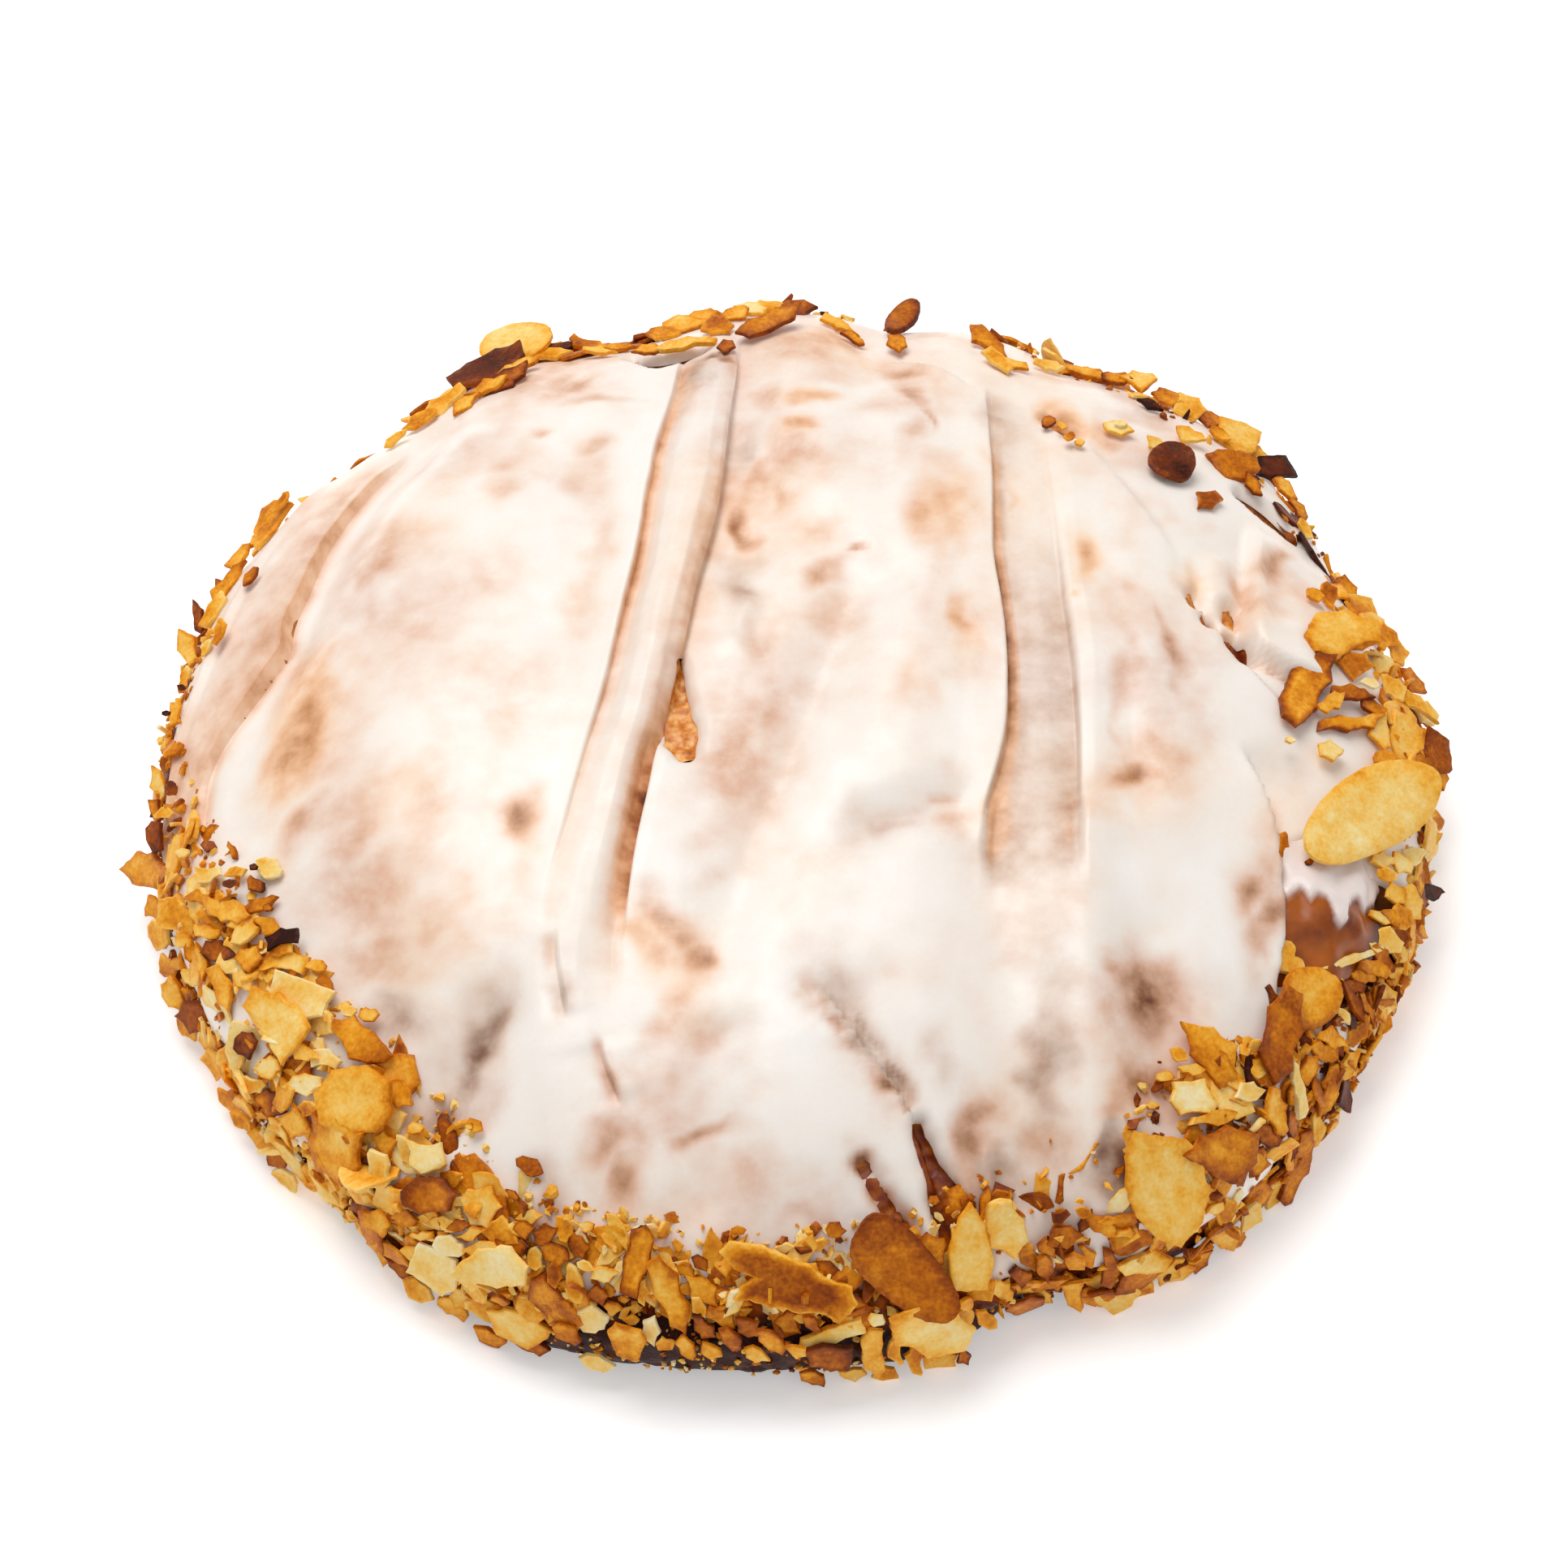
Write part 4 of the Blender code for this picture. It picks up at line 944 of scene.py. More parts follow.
def makeDough():
    turns, rows = doughGrid["turns"], doughGrid["rows"]
    degrees = np.tile(np.arange(turns) * 360.0 / turns, rows)
    climbed = np.repeat(np.linspace(0.02, slopeTotal - 0.3, rows), turns)
    unrolled = fromSlope(degrees, climbed)
    points, gap, depth = doughSurface(unrolled)
    _, normal, _, _ = domeFrame(unrolled)
    points = points - normal * doughGrid["under"]
    points[:, 2] = np.maximum(points[:, 2], 0.0)
    points[:turns, 2] = 0.0
    faces = gridFaces(rows, turns, wrap=True)
    middle = np.array([[0.0, 0.0, 0.0], points[-turns:].mean(0)])
    low, top = len(points), len(points) + 1
    first = np.arange(turns)
    after = (first + 1) % turns
    under = np.stack([after, first, np.full(turns, low)], 1)
    last = (rows - 1) * turns
    cap = np.stack([last + first, last + after, np.full(turns, top)], 1)
    points = np.concatenate([points, middle])
    amber = np.concatenate([ease(0.2, -0.6, gap) * ease(1.0, 2.2, depth), [0.0, 0.0]])
    lowness = np.concatenate([ease(5.0, 1.5, points[:-2, 2]), [1.0, 0.0]])
    every = [tuple(face) for part in (faces, under, cap) for face in part]
    mixed = np.empty(len(every), object)
    mixed[:] = every
    return addPiece("dough", points, mixed, materials["dough"], {"amber": amber, "low": lowness},
                    ("pastry",))


makeDough()
print("dough made")


# Icing coat.
icingGrid = {"rows": 312, "half": 87.0, "cells": (38, 30, 76, 54, 74, 42, 120), "crowding": 0.45}


def crowded(count):
    share = np.linspace(0.0, 1.0, count + 1)[:-1]
    return share - icingGrid["crowding"] * np.sin(2 * math.pi * share) / (2 * math.pi)


def icingNet():
    # Columns follow the pleats' lines, so that their edges stay crisp.
    half = icingGrid["half"]
    levels = np.linspace(-half, half, icingGrid["rows"])
    lines = [np.full(len(levels), -half)]
    for pleat in pleats.values():
        lines += [lineAt(pleat["leftLine"], levels), lineAt(pleat["rightLine"], levels)]
    lines.append(np.full(len(levels), half))
    spans = []
    for start, end, count in zip(lines, lines[1:], icingGrid["cells"]):
        spans.append(start[:, None] + (end - start)[:, None] * crowded(count))
    x = np.concatenate(spans + [lines[-1][:, None]], axis=1)
    y = np.repeat(levels[:, None], x.shape[1], axis=1)
    return np.stack([x.ravel(), y.ravel()], 1), x.shape


def icingTints(places, here):
    # How thin the icing is, with painted shade added in creases, grooves and on panels turned from the
    # light, how orange the crust shows through it, and how far it is greyed as painted shade.
    rose, orange, grey = (patchField(places, rows) for rows in (rosePatches, orangePatches, greyShadePatches))
    patches = np.maximum.reduce([rose, orange, grey])
    pleatThinAndShade = np.max([pleatValue(pleat, places, 2) for pleat in pleats.values()], axis=0)
    mist = 0.06 + 0.12 * softNoise(here, 9.0, 42) + 0.06 * softNoise(here, 3.5, 43)
    behind = ease(0.0, 20.0, here[:, 1] - 45.0)
    mist = mist + 0.12 * behind * (1.0 + softNoise(here, 12.0, 47))
    thin = np.maximum.reduce([patches * icing["patchStrength"], pleatThinAndShade * icing["pleatStrength"],
                              tintAndShadeField(here), grooveStainAndShadeField(places)])
    thin = np.clip(thin + np.clip(mist, 0.0, 0.3) * (1.0 - thin), 0.0, 1.0)
    warm = np.clip(0.25 + 0.5 * softNoise(here, 14.0, 48) + orange * 1.4, 0.0, 1.0)
    warm = np.maximum(warm, 0.8 * ease(0.42, 0.6, pleatThinAndShade))
    greyness = np.clip(grey * 1.6, 0.0, 1.0) * ease(-0.15, 0.1, grey - np.maximum(rose, orange))
    # The floor of the sunk strip, below the step beside it, is greyed as painted shade.
    floorThin = pleatValue(pleats["sunkStrip"], places, 2)
    sunkStripShade = icing["sunkStripShade"] * ease(0.1, 0.3, floorThin) * ease(0.6, 0.45, floorThin)
    return {"thin": thin, "warm": warm, "grey": np.maximum(greyness, sunkStripShade)}


def makeIcing():
    unrolled, (rows, columns) = icingNet()
    reach = np.hypot(unrolled[:, 0], unrolled[:, 1])
    inside = reach < slopeTotal - 2.0
    safe = unrolled * np.where(inside, 1.0, (slopeTotal - 2.0) / reach)[:, None]
    climbed = slopeTotal - np.hypot(safe[:, 0], safe[:, 1])
    degrees = np.degrees(np.arctan2(safe[:, 1], safe[:, 0]))
    here, _, _, _ = domeFrame(safe)
    lowEdge = icing["lowEdge"] + 2.2 * softNoise(here, 7.0, 41) + 1.2 * softNoise(here, 2.6, 46)
    lowEdge = lowEdge + 0.6 * footHeight(degrees)

    def edgeAt(places, level):
        gap, _ = openingDistance(places, {**cracks, **windows})
        return np.minimum(gap, (slopeTotal - np.hypot(places[:, 0], places[:, 1]) - level) * 0.8)

    # The sheet's rim is drawn on to the edge itself, so that it ends in a smooth line.
    edge = edgeAt(safe, lowEdge)
    step = 0.3
    slopeX = (edgeAt(safe + (step, 0.0), lowEdge) - edgeAt(safe - (step, 0.0), lowEdge)) / (2 * step)
    slopeY = (edgeAt(safe + (0.0, step), lowEdge) - edgeAt(safe - (0.0, step), lowEdge)) / (2 * step)
    steep = np.maximum(slopeX ** 2 + slopeY ** 2, 0.2)
    outside = np.clip(-edge, 0.0, icing["mostPull"])
    safe = safe + np.stack([slopeX, slopeY], 1) * (outside / steep)[:, None]
    here, normal, alongX, _ = domeFrame(safe)
    climbed = slopeTotal - np.hypot(safe[:, 0], safe[:, 1])
    values = icingTints(safe, here)
    coat = icing["thickness"] * (1.0 - icing["thinLoss"] * values["thin"])
    rounded = np.sqrt(np.clip(edge / icing["edgeRound"], 0.0, 1.0))
    coat = -icing["edgeDip"] + (coat + icing["edgeDip"]) * rounded
    ripple = 0.10 * softNoise(here, 7.0, 44) + 0.04 * softNoise(here, 2.6, 45)
    height = foldHeight(safe) * foldFade(climbed) + coat + ripple * rounded
    points = here + normal * height[:, None]
    for pleat in pleats.values():
        place = acrossPleat(pleat, safe)
        low, high = sorted((pleat["leftLine"][0, 1], pleat["leftLine"][-1, 1]))
        ends = ease(low + 28.0, low + 40.0, safe[:, 1]) * ease(high, high - 8.0, safe[:, 1])
        over = pleat["overhang"] * ease(8.6, 9.8, place) * (place <= 10.001) * ends
        points = points + alongX * over[:, None]
    faces = gridFaces(rows, columns)

    def reaches(places, a, b):
        return np.hypot(*(places[faces[:, a]] - places[faces[:, b]]).T)

    # Cells that the drawing in stretched are left out.
    grown = [reaches(safe, a, b) - reaches(unrolled, a, b) for a in range(4) for b in range(a)]
    whole = np.max(grown, axis=0) < icing["mostGrowth"]
    keep = (edge[faces].max(1) > 0.0) & inside[faces].all(1) & whole
    points, faces, values = usedOnly(points, faces[keep], values)
    return addPiece("icing_coat", points, faces, materials["icing"], values)


makeIcing()
print("icing made")


# The torn dough that shows in each crack: a trough a little wider than the gap in the icing.
lining = {"step": 0.3, "across": 15, "over": 0.8, "lip": 0.45}


def makeLining(name, route, depth, darker):
    line = np.array(route, float)
    corners = flat(line[:, :2])
    steps = np.concatenate([[0.0], np.cumsum(np.hypot(*np.diff(corners, axis=0).T))])
    count = max(4, int(steps[-1] / lining["step"]))
    along = np.linspace(-lining["over"], steps[-1] + lining["over"], count)
    ends = (corners[1] - corners[0]) / steps[1], (corners[-1] - corners[-2]) / (steps[-1] - steps[-2])
    centre = np.stack([np.interp(along, steps, corners[:, axis]) for axis in (0, 1)], 1)
    before, past = np.minimum(along, 0.0)[:, None], np.maximum(along - steps[-1], 0.0)[:, None]
    centre += before * ends[0] + past * ends[1]
    ahead = np.gradient(centre, axis=0)
    ahead /= np.linalg.norm(ahead, axis=1, keepdims=True)
    aside = np.stack([-ahead[:, 1], ahead[:, 0]], 1)
    half = np.interp(along, steps, line[:, 2]) + lining["over"]
    across = np.linspace(-1.0, 1.0, lining["across"])
    places = (centre[:, None] + aside[:, None] * (half[:, None] * across)[:, :, None]).reshape(-1, 2)
    inside = ease(0.0, 1.5, np.minimum(along, steps[-1] - along) + 1.2)[:, None]
    inward = (ease(1.0, 0.45, np.abs(across))[None, :] * inside).ravel()
    climbed = slopeTotal - np.hypot(places[:, 0], places[:, 1])
    here, normal, _, _ = domeFrame(places)
    rough = 0.34 * softNoise(here, 1.2, 91) + 0.16 * softNoise(here, 0.5, 92)
    height = foldHeight(places) * foldFade(climbed) - lining["lip"] + rough * inward
    points = here + normal * (height - (depth - lining["lip"]) * inward)[:, None]
    # Darker with the crack's depth and towards its middle: painted shade.
    deep = np.clip(0.12 + (0.26 * depth + darker) * inward + 0.15 * rough, 0.0, 1.0)
    faces = gridFaces(count, lining["across"])[:, ::-1]
    return addPiece("torn_" + name, points, faces, materials["torn"], {"deep": deep})


for crackName, (crackRoute, crackDepth, crackDarker) in cracks.items():
    makeLining(crackName, crackRoute, crackDepth, crackDarker)
print("cracks lined")


# Filling.
def ballPoints(rings, segments, poleGap):
    # Points on a ball of radius 1, ring by ring.
    down = np.linspace(poleGap, math.pi - poleGap, rings)
    across = np.linspace(0.0, 2 * math.pi, segments, endpoint=False)
    ring, step = np.meshgrid(down, across, indexing="ij")
    unit = [np.sin(ring) * np.cos(step), np.sin(ring) * np.sin(step), np.cos(ring)]
    return np.stack(unit, -1).reshape(-1, 3)


def ellipsoid(centre, half, turn, seed, bumps, segments=72, rings=40):
    unit = ballPoints(rings, segments, 0.02)
    swell = 1.0 + bumps * softNoise(unit * half, 3.5, seed)
    local = unit * half * swell[:, None]
    x, y = turned(local, turn)
    points = np.stack([x, y, local[:, 2]], 1) + centre
    return points, gridFaces(rings, segments, wrap=True)[:, ::-1]


# The lobe that shows in the side: mm from the middle, direction, height, half sizes; the
# lower edge of the icing that ran down over it, and where the jam is dark, in the view.
lobe = {
    "reach": 61.0,
    "direction": -23,
    "height": 15.2,
    "half": (12.4, 14.0, 8.4),
    "dripEdge": [
        (1560, 1090), (1585, 1104), (1600, 1096), (1612, 1112), (1624, 1104), (1634, 1106),
        (1641, 1130), (1649, 1142), (1657, 1136), (1662, 1112), (1672, 1108), (1681, 1124),
        (1691, 1112), (1698, 1092), (1708, 1098), (1718, 1084), (1732, 1066), (1760, 1050),
    ],
    "dripThickness": 0.45,
    "darkFrom": 1685,
}


def makeFilling():
    lens, lensFaces = ellipsoid((0, 0, 14), (63, 63, 6.2), 0, 51, 0.0)
    turn = math.radians(lobe["direction"])
    middle = (lobe["reach"] * math.cos(turn), lobe["reach"] * math.sin(turn), lobe["height"])
    bulge, bulgeFaces = ellipsoid(middle, lobe["half"], lobe["direction"], 52, 0.08, 150, 90)
    seen = seenAt(bulge) + 4.0 * np.stack([softNoise(bulge, 1.6, 54), softNoise(bulge, 1.6, 55)], 1)
    edge = np.interp(seen[:, 0], *np.array(lobe["dripEdge"], float).T)
    drip = ease(5.0, -5.0, seen[:, 1] - edge)
    outward = (bulge - middle) / np.array(lobe["half"])
    outward /= np.linalg.norm(outward, axis=1, keepdims=True)
    bulge = bulge + outward * (lobe["dripThickness"] * drip + 0.22 * softNoise(bulge, 1.4, 56))[:, None]
    dark = ease(-8.0, 14.0, seen[:, 0] - lobe["darkFrom"]) * (1.0 - drip)
    points = np.concatenate([lens, bulge])
    faces = np.concatenate([lensFaces, bulgeFaces + len(lens)])
    plain = np.zeros(len(lens))
    values = {"drip": np.concatenate([plain, drip]), "dark": np.concatenate([plain + 0.5, dark])}
    return addPiece("fruit_filling", points, faces, materials["filling"], values, ("filling",))


makeFilling()
print("filling made")


# Almonds broken by the knife have straight sides and sharp corners; whole slices are smooth.
def brokenCorners(rng, length, width, corners):
    turn = (np.arange(corners) + rng.uniform(-0.36, 0.36, corners)) * 2 * math.pi / corners
    reach = rng.uniform(0.72, 1.12, corners)
    line = np.stack([np.cos(turn), np.sin(turn)], 1) * reach[:, None]
    low, high = line.min(0), line.max(0)
    return (line - (low + high) / 2) / (high - low) * (length, width)


def sliceOutline(rng, corners, smooth, step):
    # Points along the outline: bent a little between the corners, and rough where it broke.
    line = np.asarray(corners, float)
    if smooth:
        for _ in range(3):
            after = np.roll(line, -1, axis=0)
            line = np.stack([0.75 * line + 0.25 * after, 0.25 * line + 0.75 * after], 1).reshape(-1, 2)
        return line + rng.normal(0, 0.03, line.shape)
    after = np.roll(line, -1, axis=0)
    pieces = []
    for start, end in zip(line, after):
        length = float(np.hypot(*(end - start)))
        count = int(np.clip(round(length / step), 1, 9))
        share = np.arange(count) / count
        outward = np.array([end[1] - start[1], start[0] - end[0]]) / max(length, 1e-6)
        bulge = rng.choice([0.0, 0.03, 0.10]) * length
        swing = bulge * np.sin(math.pi * share) + rng.normal(0, 0.07, count) * (share > 0)
        pieces.append(start + (end - start) * share[:, None] + outward * swing[:, None])
    return np.concatenate(pieces)


def sliceShape(rng, corners, thickness, curl, edgeToast, smooth=False, step=0.8, rings=(0.3, 0.65)):
    # A slice on its own plane: x and y as its corners, z out of it, with how toasted each point is.
    line = sliceOutline(rng, corners, smooth, step)
    area = np.sum(line[:, 0] * np.roll(line[:, 1], -1) - np.roll(line[:, 0], -1) * line[:, 1])
    if area < 0:
        line = line[::-1]
    middle = line.mean(0)
    half = thickness / 2
    shares = [*rings, 0.93, 1.0, 1.0, 0.9]
    heights = [half] * (len(rings) + 1) + [half * 0.6, -half * 0.7, -half]
    browned = [0.0] * len(rings) + [edgeToast, edgeToast * 1.5, edgeToast * 1.5, edgeToast]
    count = len(line)
    points = [np.c_[middle + (line - middle) * share, np.full(count, height)]
              for share, height in zip(shares, heights)]
    points = np.concatenate(points + [[[*middle, half]], [[*middle, -half]]])
    toast = np.concatenate([np.repeat(browned, count), [0.0, 0.0]])
    span = np.abs(line - middle).max(0) + 0.01
    u, v = ((points[:, :2] - middle) / span).T
    lean = rng.uniform(0, 2 * math.pi)
    toast = toast + rng.uniform(0.02, 0.10) * (u * math.cos(lean) + v * math.sin(lean))
    bend = curl * (u * u) + 0.3 * curl * rng.uniform(-1, 1) * v * v
    bend = bend + 0.3 * curl * rng.uniform(-1, 1) * u * v
    place = points + rng.uniform(0, 90, 3)
    points[:, 2] += bend + 0.10 * softNoise(place, 2.2, 61) + 0.05 * softNoise(place, 0.8, 62)
    return points, closedFaces(len(shares), count), toast


def crumbShape(rng, size):
    # A broken bit of nut: a squashed, chipped lump.
    rings, segments = 3, 5
    unit = np.concatenate([ballPoints(rings, segments, 0.6), [[0, 0, 0.9], [0, 0, -0.9]]])
    unit *= (1.0 + 0.25 * rng.standard_normal(len(unit)))[:, None]
    points = unit * size / 2 * np.array([1.0, rng.uniform(0.5, 0.95), rng.uniform(0.3, 0.7)])
    return points, closedFaces(rings, segments), np.zeros(len(points))


def turnAbout(axis, degrees):
    x, y, z = axis / (np.linalg.norm(axis) + 1e-9)
    cross = np.array([[0, -z, y], [z, 0, -x], [-y, x, 0]])
    lean = math.radians(degrees)
    return np.eye(3) + math.sin(lean) * cross + (1 - math.cos(lean)) * cross @ cross


class Heap:
    # Gathers shapes of one kind into one mesh.
    def __init__(self):
        self.points, self.faces, self.toast, self.count = [], [], [], 0

    def add(self, points, faces, toast):
        low = points[:, 2].min()
        if low < 0.15:
            points = points + (0.0, 0.0, 0.15 - low)
        self.points.append(points)
        self.faces.append(faces + self.count)
        self.toast.append(np.clip(toast, 0.0, 1.0))
        self.count += len(points)

    def make(self, name, material, slot=None, replaced=()):
        if not self.points:
            return None
        return addPiece(name, np.concatenate(self.points), np.concatenate(self.faces), material,
                        {"toast": np.concatenate(self.toast)}, replaced, crisp=38)


# The heap of almonds that everything loose lies on: mm off the crust, lumps and their size.
bed = {"thinnest": -0.5, "thickest": 1.3, "lump": 6.0, "smallLump": 2.4, "foot": 1.8}


def bedOffset(degrees, climbed):
    here = domePoints(fromSlope(degrees, climbed))
    lumps = 0.45 + 0.6 * softNoise(here, bed["lump"], 71) + 0.35 * softNoise(here, bed["smallLump"], 72)
    share = (climbed - rimLow(degrees)) / (rimReach(degrees) - rimLow(degrees))
    edge = np.clip(4.0 * np.minimum(share, 1.0 - share), 0.0, 1.0)
    inside = (share > 0.0) & (share < 1.0)
    rise = bed["thinnest"] + (bed["thickest"] - bed["thinnest"]) * np.clip(lumps, 0.0, 1.0)
    above = climbed - rimLow(degrees)
    foot = ease(0.0, 3.0, footHeight(degrees) - above) * np.clip(0.8 * above, 0.0, 1.0)
    return np.where(inside, np.maximum(rise * edge - 0.3 * (1.0 - edge), bed["foot"] * foot), 0.0)


def surfaceAt(degrees, climbed, offset):
    unrolled = fromSlope(degrees, climbed)
    here, normal, _, _ = domeFrame(unrolled)
    return here + normal * (foldHeight(unrolled) * foldFade(climbed) + offset)[:, None], normal


def seenSurface():
    # The heap's surface as the camera sees it: places in its view, points and ways out.
    turns, rows = 720, 150
    degrees = np.tile(np.arange(turns) * 360.0 / turns, rows)
    climbed = np.repeat(np.linspace(1.0, 64.0, rows), turns)
    offset = np.maximum(bedOffset(degrees, climbed), 0.75 * (climbed > 12.0))
    points, normals = surfaceAt(degrees, climbed, offset)
    toward = cameraPlace() - points
    toward /= np.linalg.norm(toward, axis=1, keepdims=True)
    facing = (normals * toward).sum(1) > 0.02
    return seenAt(points[facing]), points[facing], normals[facing], toward[facing]


seenNet = seenSurface()


# How a placed slice lies: the steps by which it leans to the camera, how squarely it faces it
# before that stops, how much longer it may be than it looks, and how far it sinks.
lying = {"pulls": (0.0, 0.2, 0.4, 0.6, 0.8, 1.1, 1.5), "facing": 0.66, "stretch": 1.45, "spare": 1.3,
         "sink": 0.35}


def seenPiece(rng, heap, outline, layer, thickness, curl, toast, edgeToast, smooth=False, mostLean=30.0):
    # A slice whose outline is given in the view. It is set layer mm off the heap under its middle,
    # and leans towards the camera until it faces it squarely enough or first leans past mostLean.
    outline = np.asarray(outline, float)
    middle = outline.mean(0)
    places, points, normals, towards = seenNet
    nearest = int(np.argmin(((places - middle) ** 2).sum(1)))
    out, toward = normals[nearest], towards[nearest]
    plane = out
    for pull in lying["pulls"]:
        plane = (out + pull * toward) / np.linalg.norm(out + pull * toward)
        leaned = math.degrees(math.acos(float(np.clip(plane @ out, -1.0, 1.0))))
        if plane @ toward > lying["facing"] or leaned > mostLean:
            break
    centre = points[nearest] + out * layer
    eye = cameraPlace()
    aheads = np.array([seenRay(x, y)[1] for x, y in outline])
    reach = ((centre - eye) @ plane) / (aheads @ plane)
    corners = eye + aheads * reach[:, None] - centre
    along = corners[int(np.argmax(np.linalg.norm(corners - corners.mean(0), axis=1)))] - corners.mean(0)
    along = along - plane * (along @ plane)
    along /= np.linalg.norm(along)
    across = np.cross(plane, along)
    local = np.stack([corners @ along, corners @ across], 1)
    wide = (outline.max(0) - outline.min(0)).max() / camera["pixelsPerMm"] * lying["stretch"]
    spread = np.linalg.norm(local.max(0) - local.min(0))
    if spread > wide * lying["spare"]:
        local = local.mean(0) + (local - local.mean(0)) * wide * lying["spare"] / spread
    shape, faces, browned = sliceShape(rng, local, thickness, curl, edgeToast, smooth)
    low = float(min(0.0, (shape[:, :2] @ np.array([along @ out, across @ out])).min()))
    lifted = centre - out * lying["sink"] * low
    points = lifted + shape[:, :1] * along + shape[:, 1:2] * across + shape[:, 2:] * plane
    heap.add(points, faces, toast + browned + 0.07 * softNoise(points, 2.4, 81))


def turnedOutline(x, y, corners, turn):
    forward, aside = turned(corners, turn)
    return np.stack([x + forward, y + aside], 1)


toastKinds = {"pale": 0.3, "golden": 0.5, "toasted": 1.0}


def pickHeap(heaps, toast):
    # A slice goes to the first kind that is toasted more than it is.
    for kind, most in toastKinds.items():
        if toast < most:
            return heaps[kind]
    return heaps["toasted"]


def makeHeaps(heaps, prefix, slot):
    for kind, heap in heaps.items():
        heap.make(prefix + kind, materials["slice"], slot)


# Large slices that the model has a node for: outline in the view, how toasted, how much
# more at its edge, bend in mm, thickness in mm, and whether its outline is smooth.
largeSlices = {
    "right_whole": ([(1597, 1045), (1603, 1015), (1640, 970), (1680, 945), (1715, 940), (1745, 945),
                     (1768, 962), (1764, 1000), (1740, 1032), (1690, 1055), (1640, 1073), (1605, 1064)],
                    0.22, 0.05, 0.8, 0.9, True),
    "front_orange": ([(1044, 1540), (1056, 1508), (1074, 1489), (1108, 1502), (1140, 1535),
                      (1172, 1575), (1185, 1608), (1165, 1630), (1128, 1624), (1092, 1600),
                      (1056, 1568)], 0.58, 0.08, 0.9, 0.9, True),
    "front_notched": ([(886, 1541), (898, 1529), (940, 1534), (1002, 1560), (1050, 1584), (1057, 1604),
                       (1036, 1626), (985, 1618), (948, 1611), (904, 1601), (912, 1584), (929, 1572),
                       (904, 1562)], 0.68, -0.22, 0.5, 1.1, False),
    "front_pale_tall": ([(1395, 1392), (1460, 1403), (1484, 1428), (1490, 1465), (1479, 1505),
                         (1452, 1536), (1425, 1526), (1400, 1500), (1387, 1462), (1385, 1425)], 0.26,
                        0.1, 0.6, 0.9, False),
    "front_right_gold": ([(1455, 1424), (1478, 1398), (1512, 1386), (1548, 1396), (1545, 1432),
                          (1530, 1462), (1498, 1452)], 0.5, 0.12, 0.6, 0.9, False),
    "window_gold": ([(1580, 1205), (1602, 1190), (1634, 1193), (1650, 1222), (1641, 1255), (1616, 1273),
                     (1588, 1262), (1576, 1235)], 0.4, 0.1, 0.8, 0.9, True),
    "right_toasted": ([(1575, 860), (1590, 826), (1620, 806), (1644, 812), (1640, 842), (1622, 876),
                       (1594, 900), (1577, 886)], 0.44, 0.22, 0.8, 0.9, False),
    "right_cream": ([(1600, 790), (1618, 760), (1652, 757), (1690, 775), (1694, 800), (1660, 806),
                     (1640, 822), (1612, 812)], 0.3, 0.12, 0.8, 0.8, False),
    "back_left_pale": ([(590, 440), (604, 416), (640, 401), (676, 404), (686, 422), (668, 442),
                        (630, 452), (602, 452)], 0.2, 0.12, 0.4, 0.8, True),
    "back_left_dark": ([(556, 480), (578, 458), (616, 440), (648, 434), (652, 448), (626, 470),
                        (590, 484), (564, 490)], 0.86, -0.05, 0.8, 0.9, False),
    "left_pale": ([(303, 1240), (318, 1215), (345, 1222), (368, 1240), (384, 1266), (368, 1292),
                   (350, 1313), (336, 1292), (320, 1274)], 0.24, 0.1, 0.6, 0.8, False),
    "left_gold": ([(392, 1348), (412, 1318), (452, 1312), (486, 1334), (488, 1372), (466, 1396),
                   (428, 1400), (398, 1384)], 0.33, 0.08, 0.7, 0.9, False),
    "front_left_brown": ([(498, 1466), (516, 1448), (550, 1452), (566, 1470), (556, 1492), (520, 1496),
                          (500, 1484)], 0.58, 0.12, 0.5, 0.9, False),
    "front_left_cream": ([(562, 1562), (588, 1538), (630, 1536), (656, 1556), (650, 1580), (612, 1588),
                          (576, 1582)], 0.12, 0.05, 1.2, 0.8, False),
    "front_left_upright": ([(764, 1592), (768, 1548), (778, 1514), (796, 1508), (806, 1526),
                            (798, 1566), (786, 1600)], 0.44, 0.2, 0.5, 1.0, False),
    "front_upright": ([(796, 1556), (812, 1544), (836, 1570), (850, 1612), (846, 1642), (826, 1632),
                       (806, 1596)], 0.38, 0.12, 0.5, 1.0, False),
    "front_pale_upright": ([(1174, 1590), (1168, 1545), (1180, 1500), (1194, 1480), (1212, 1506),
                            (1224, 1550), (1214, 1588)], 0.22, 0.1, 0.5, 0.8, False),
    "front_low_pale": ([(1092, 1618), (1130, 1604), (1176, 1608), (1200, 1630), (1186, 1656),
                        (1140, 1668), (1100, 1652)], 0.2, 0.1, 0.6, 0.8, False),
    "left_point": ([(165, 1070), (185, 1046), (205, 1047), (235, 1070), (212, 1097), (180, 1090)], 0.42,
                   0.1, 0.5, 0.9, False),
    "back_right_dark": ([(1412, 562), (1432, 546), (1462, 556), (1474, 578), (1460, 598), (1432, 594),
                         (1414, 582)], 0.9, -0.08, 0.6, 0.9, True),
    "back_brown": ([(906, 420), (920, 402), (956, 386), (988, 384), (980, 400), (950, 414), (924, 424)],
                   0.56, 0.1, 0.5, 0.8, False),
    "back_knob_brown": ([(1086, 420), (1090, 398), (1112, 380), (1138, 384), (1136, 402), (1112, 420),
                         (1096, 428)], 0.62, 0.12, 0.8, 0.9, True),
    "right_front_low": ([(1548, 1296), (1562, 1240), (1580, 1214), (1600, 1226), (1602, 1272),
                         (1590, 1320), (1566, 1338)], 0.66, 0.06, 0.6, 0.9, False),
}


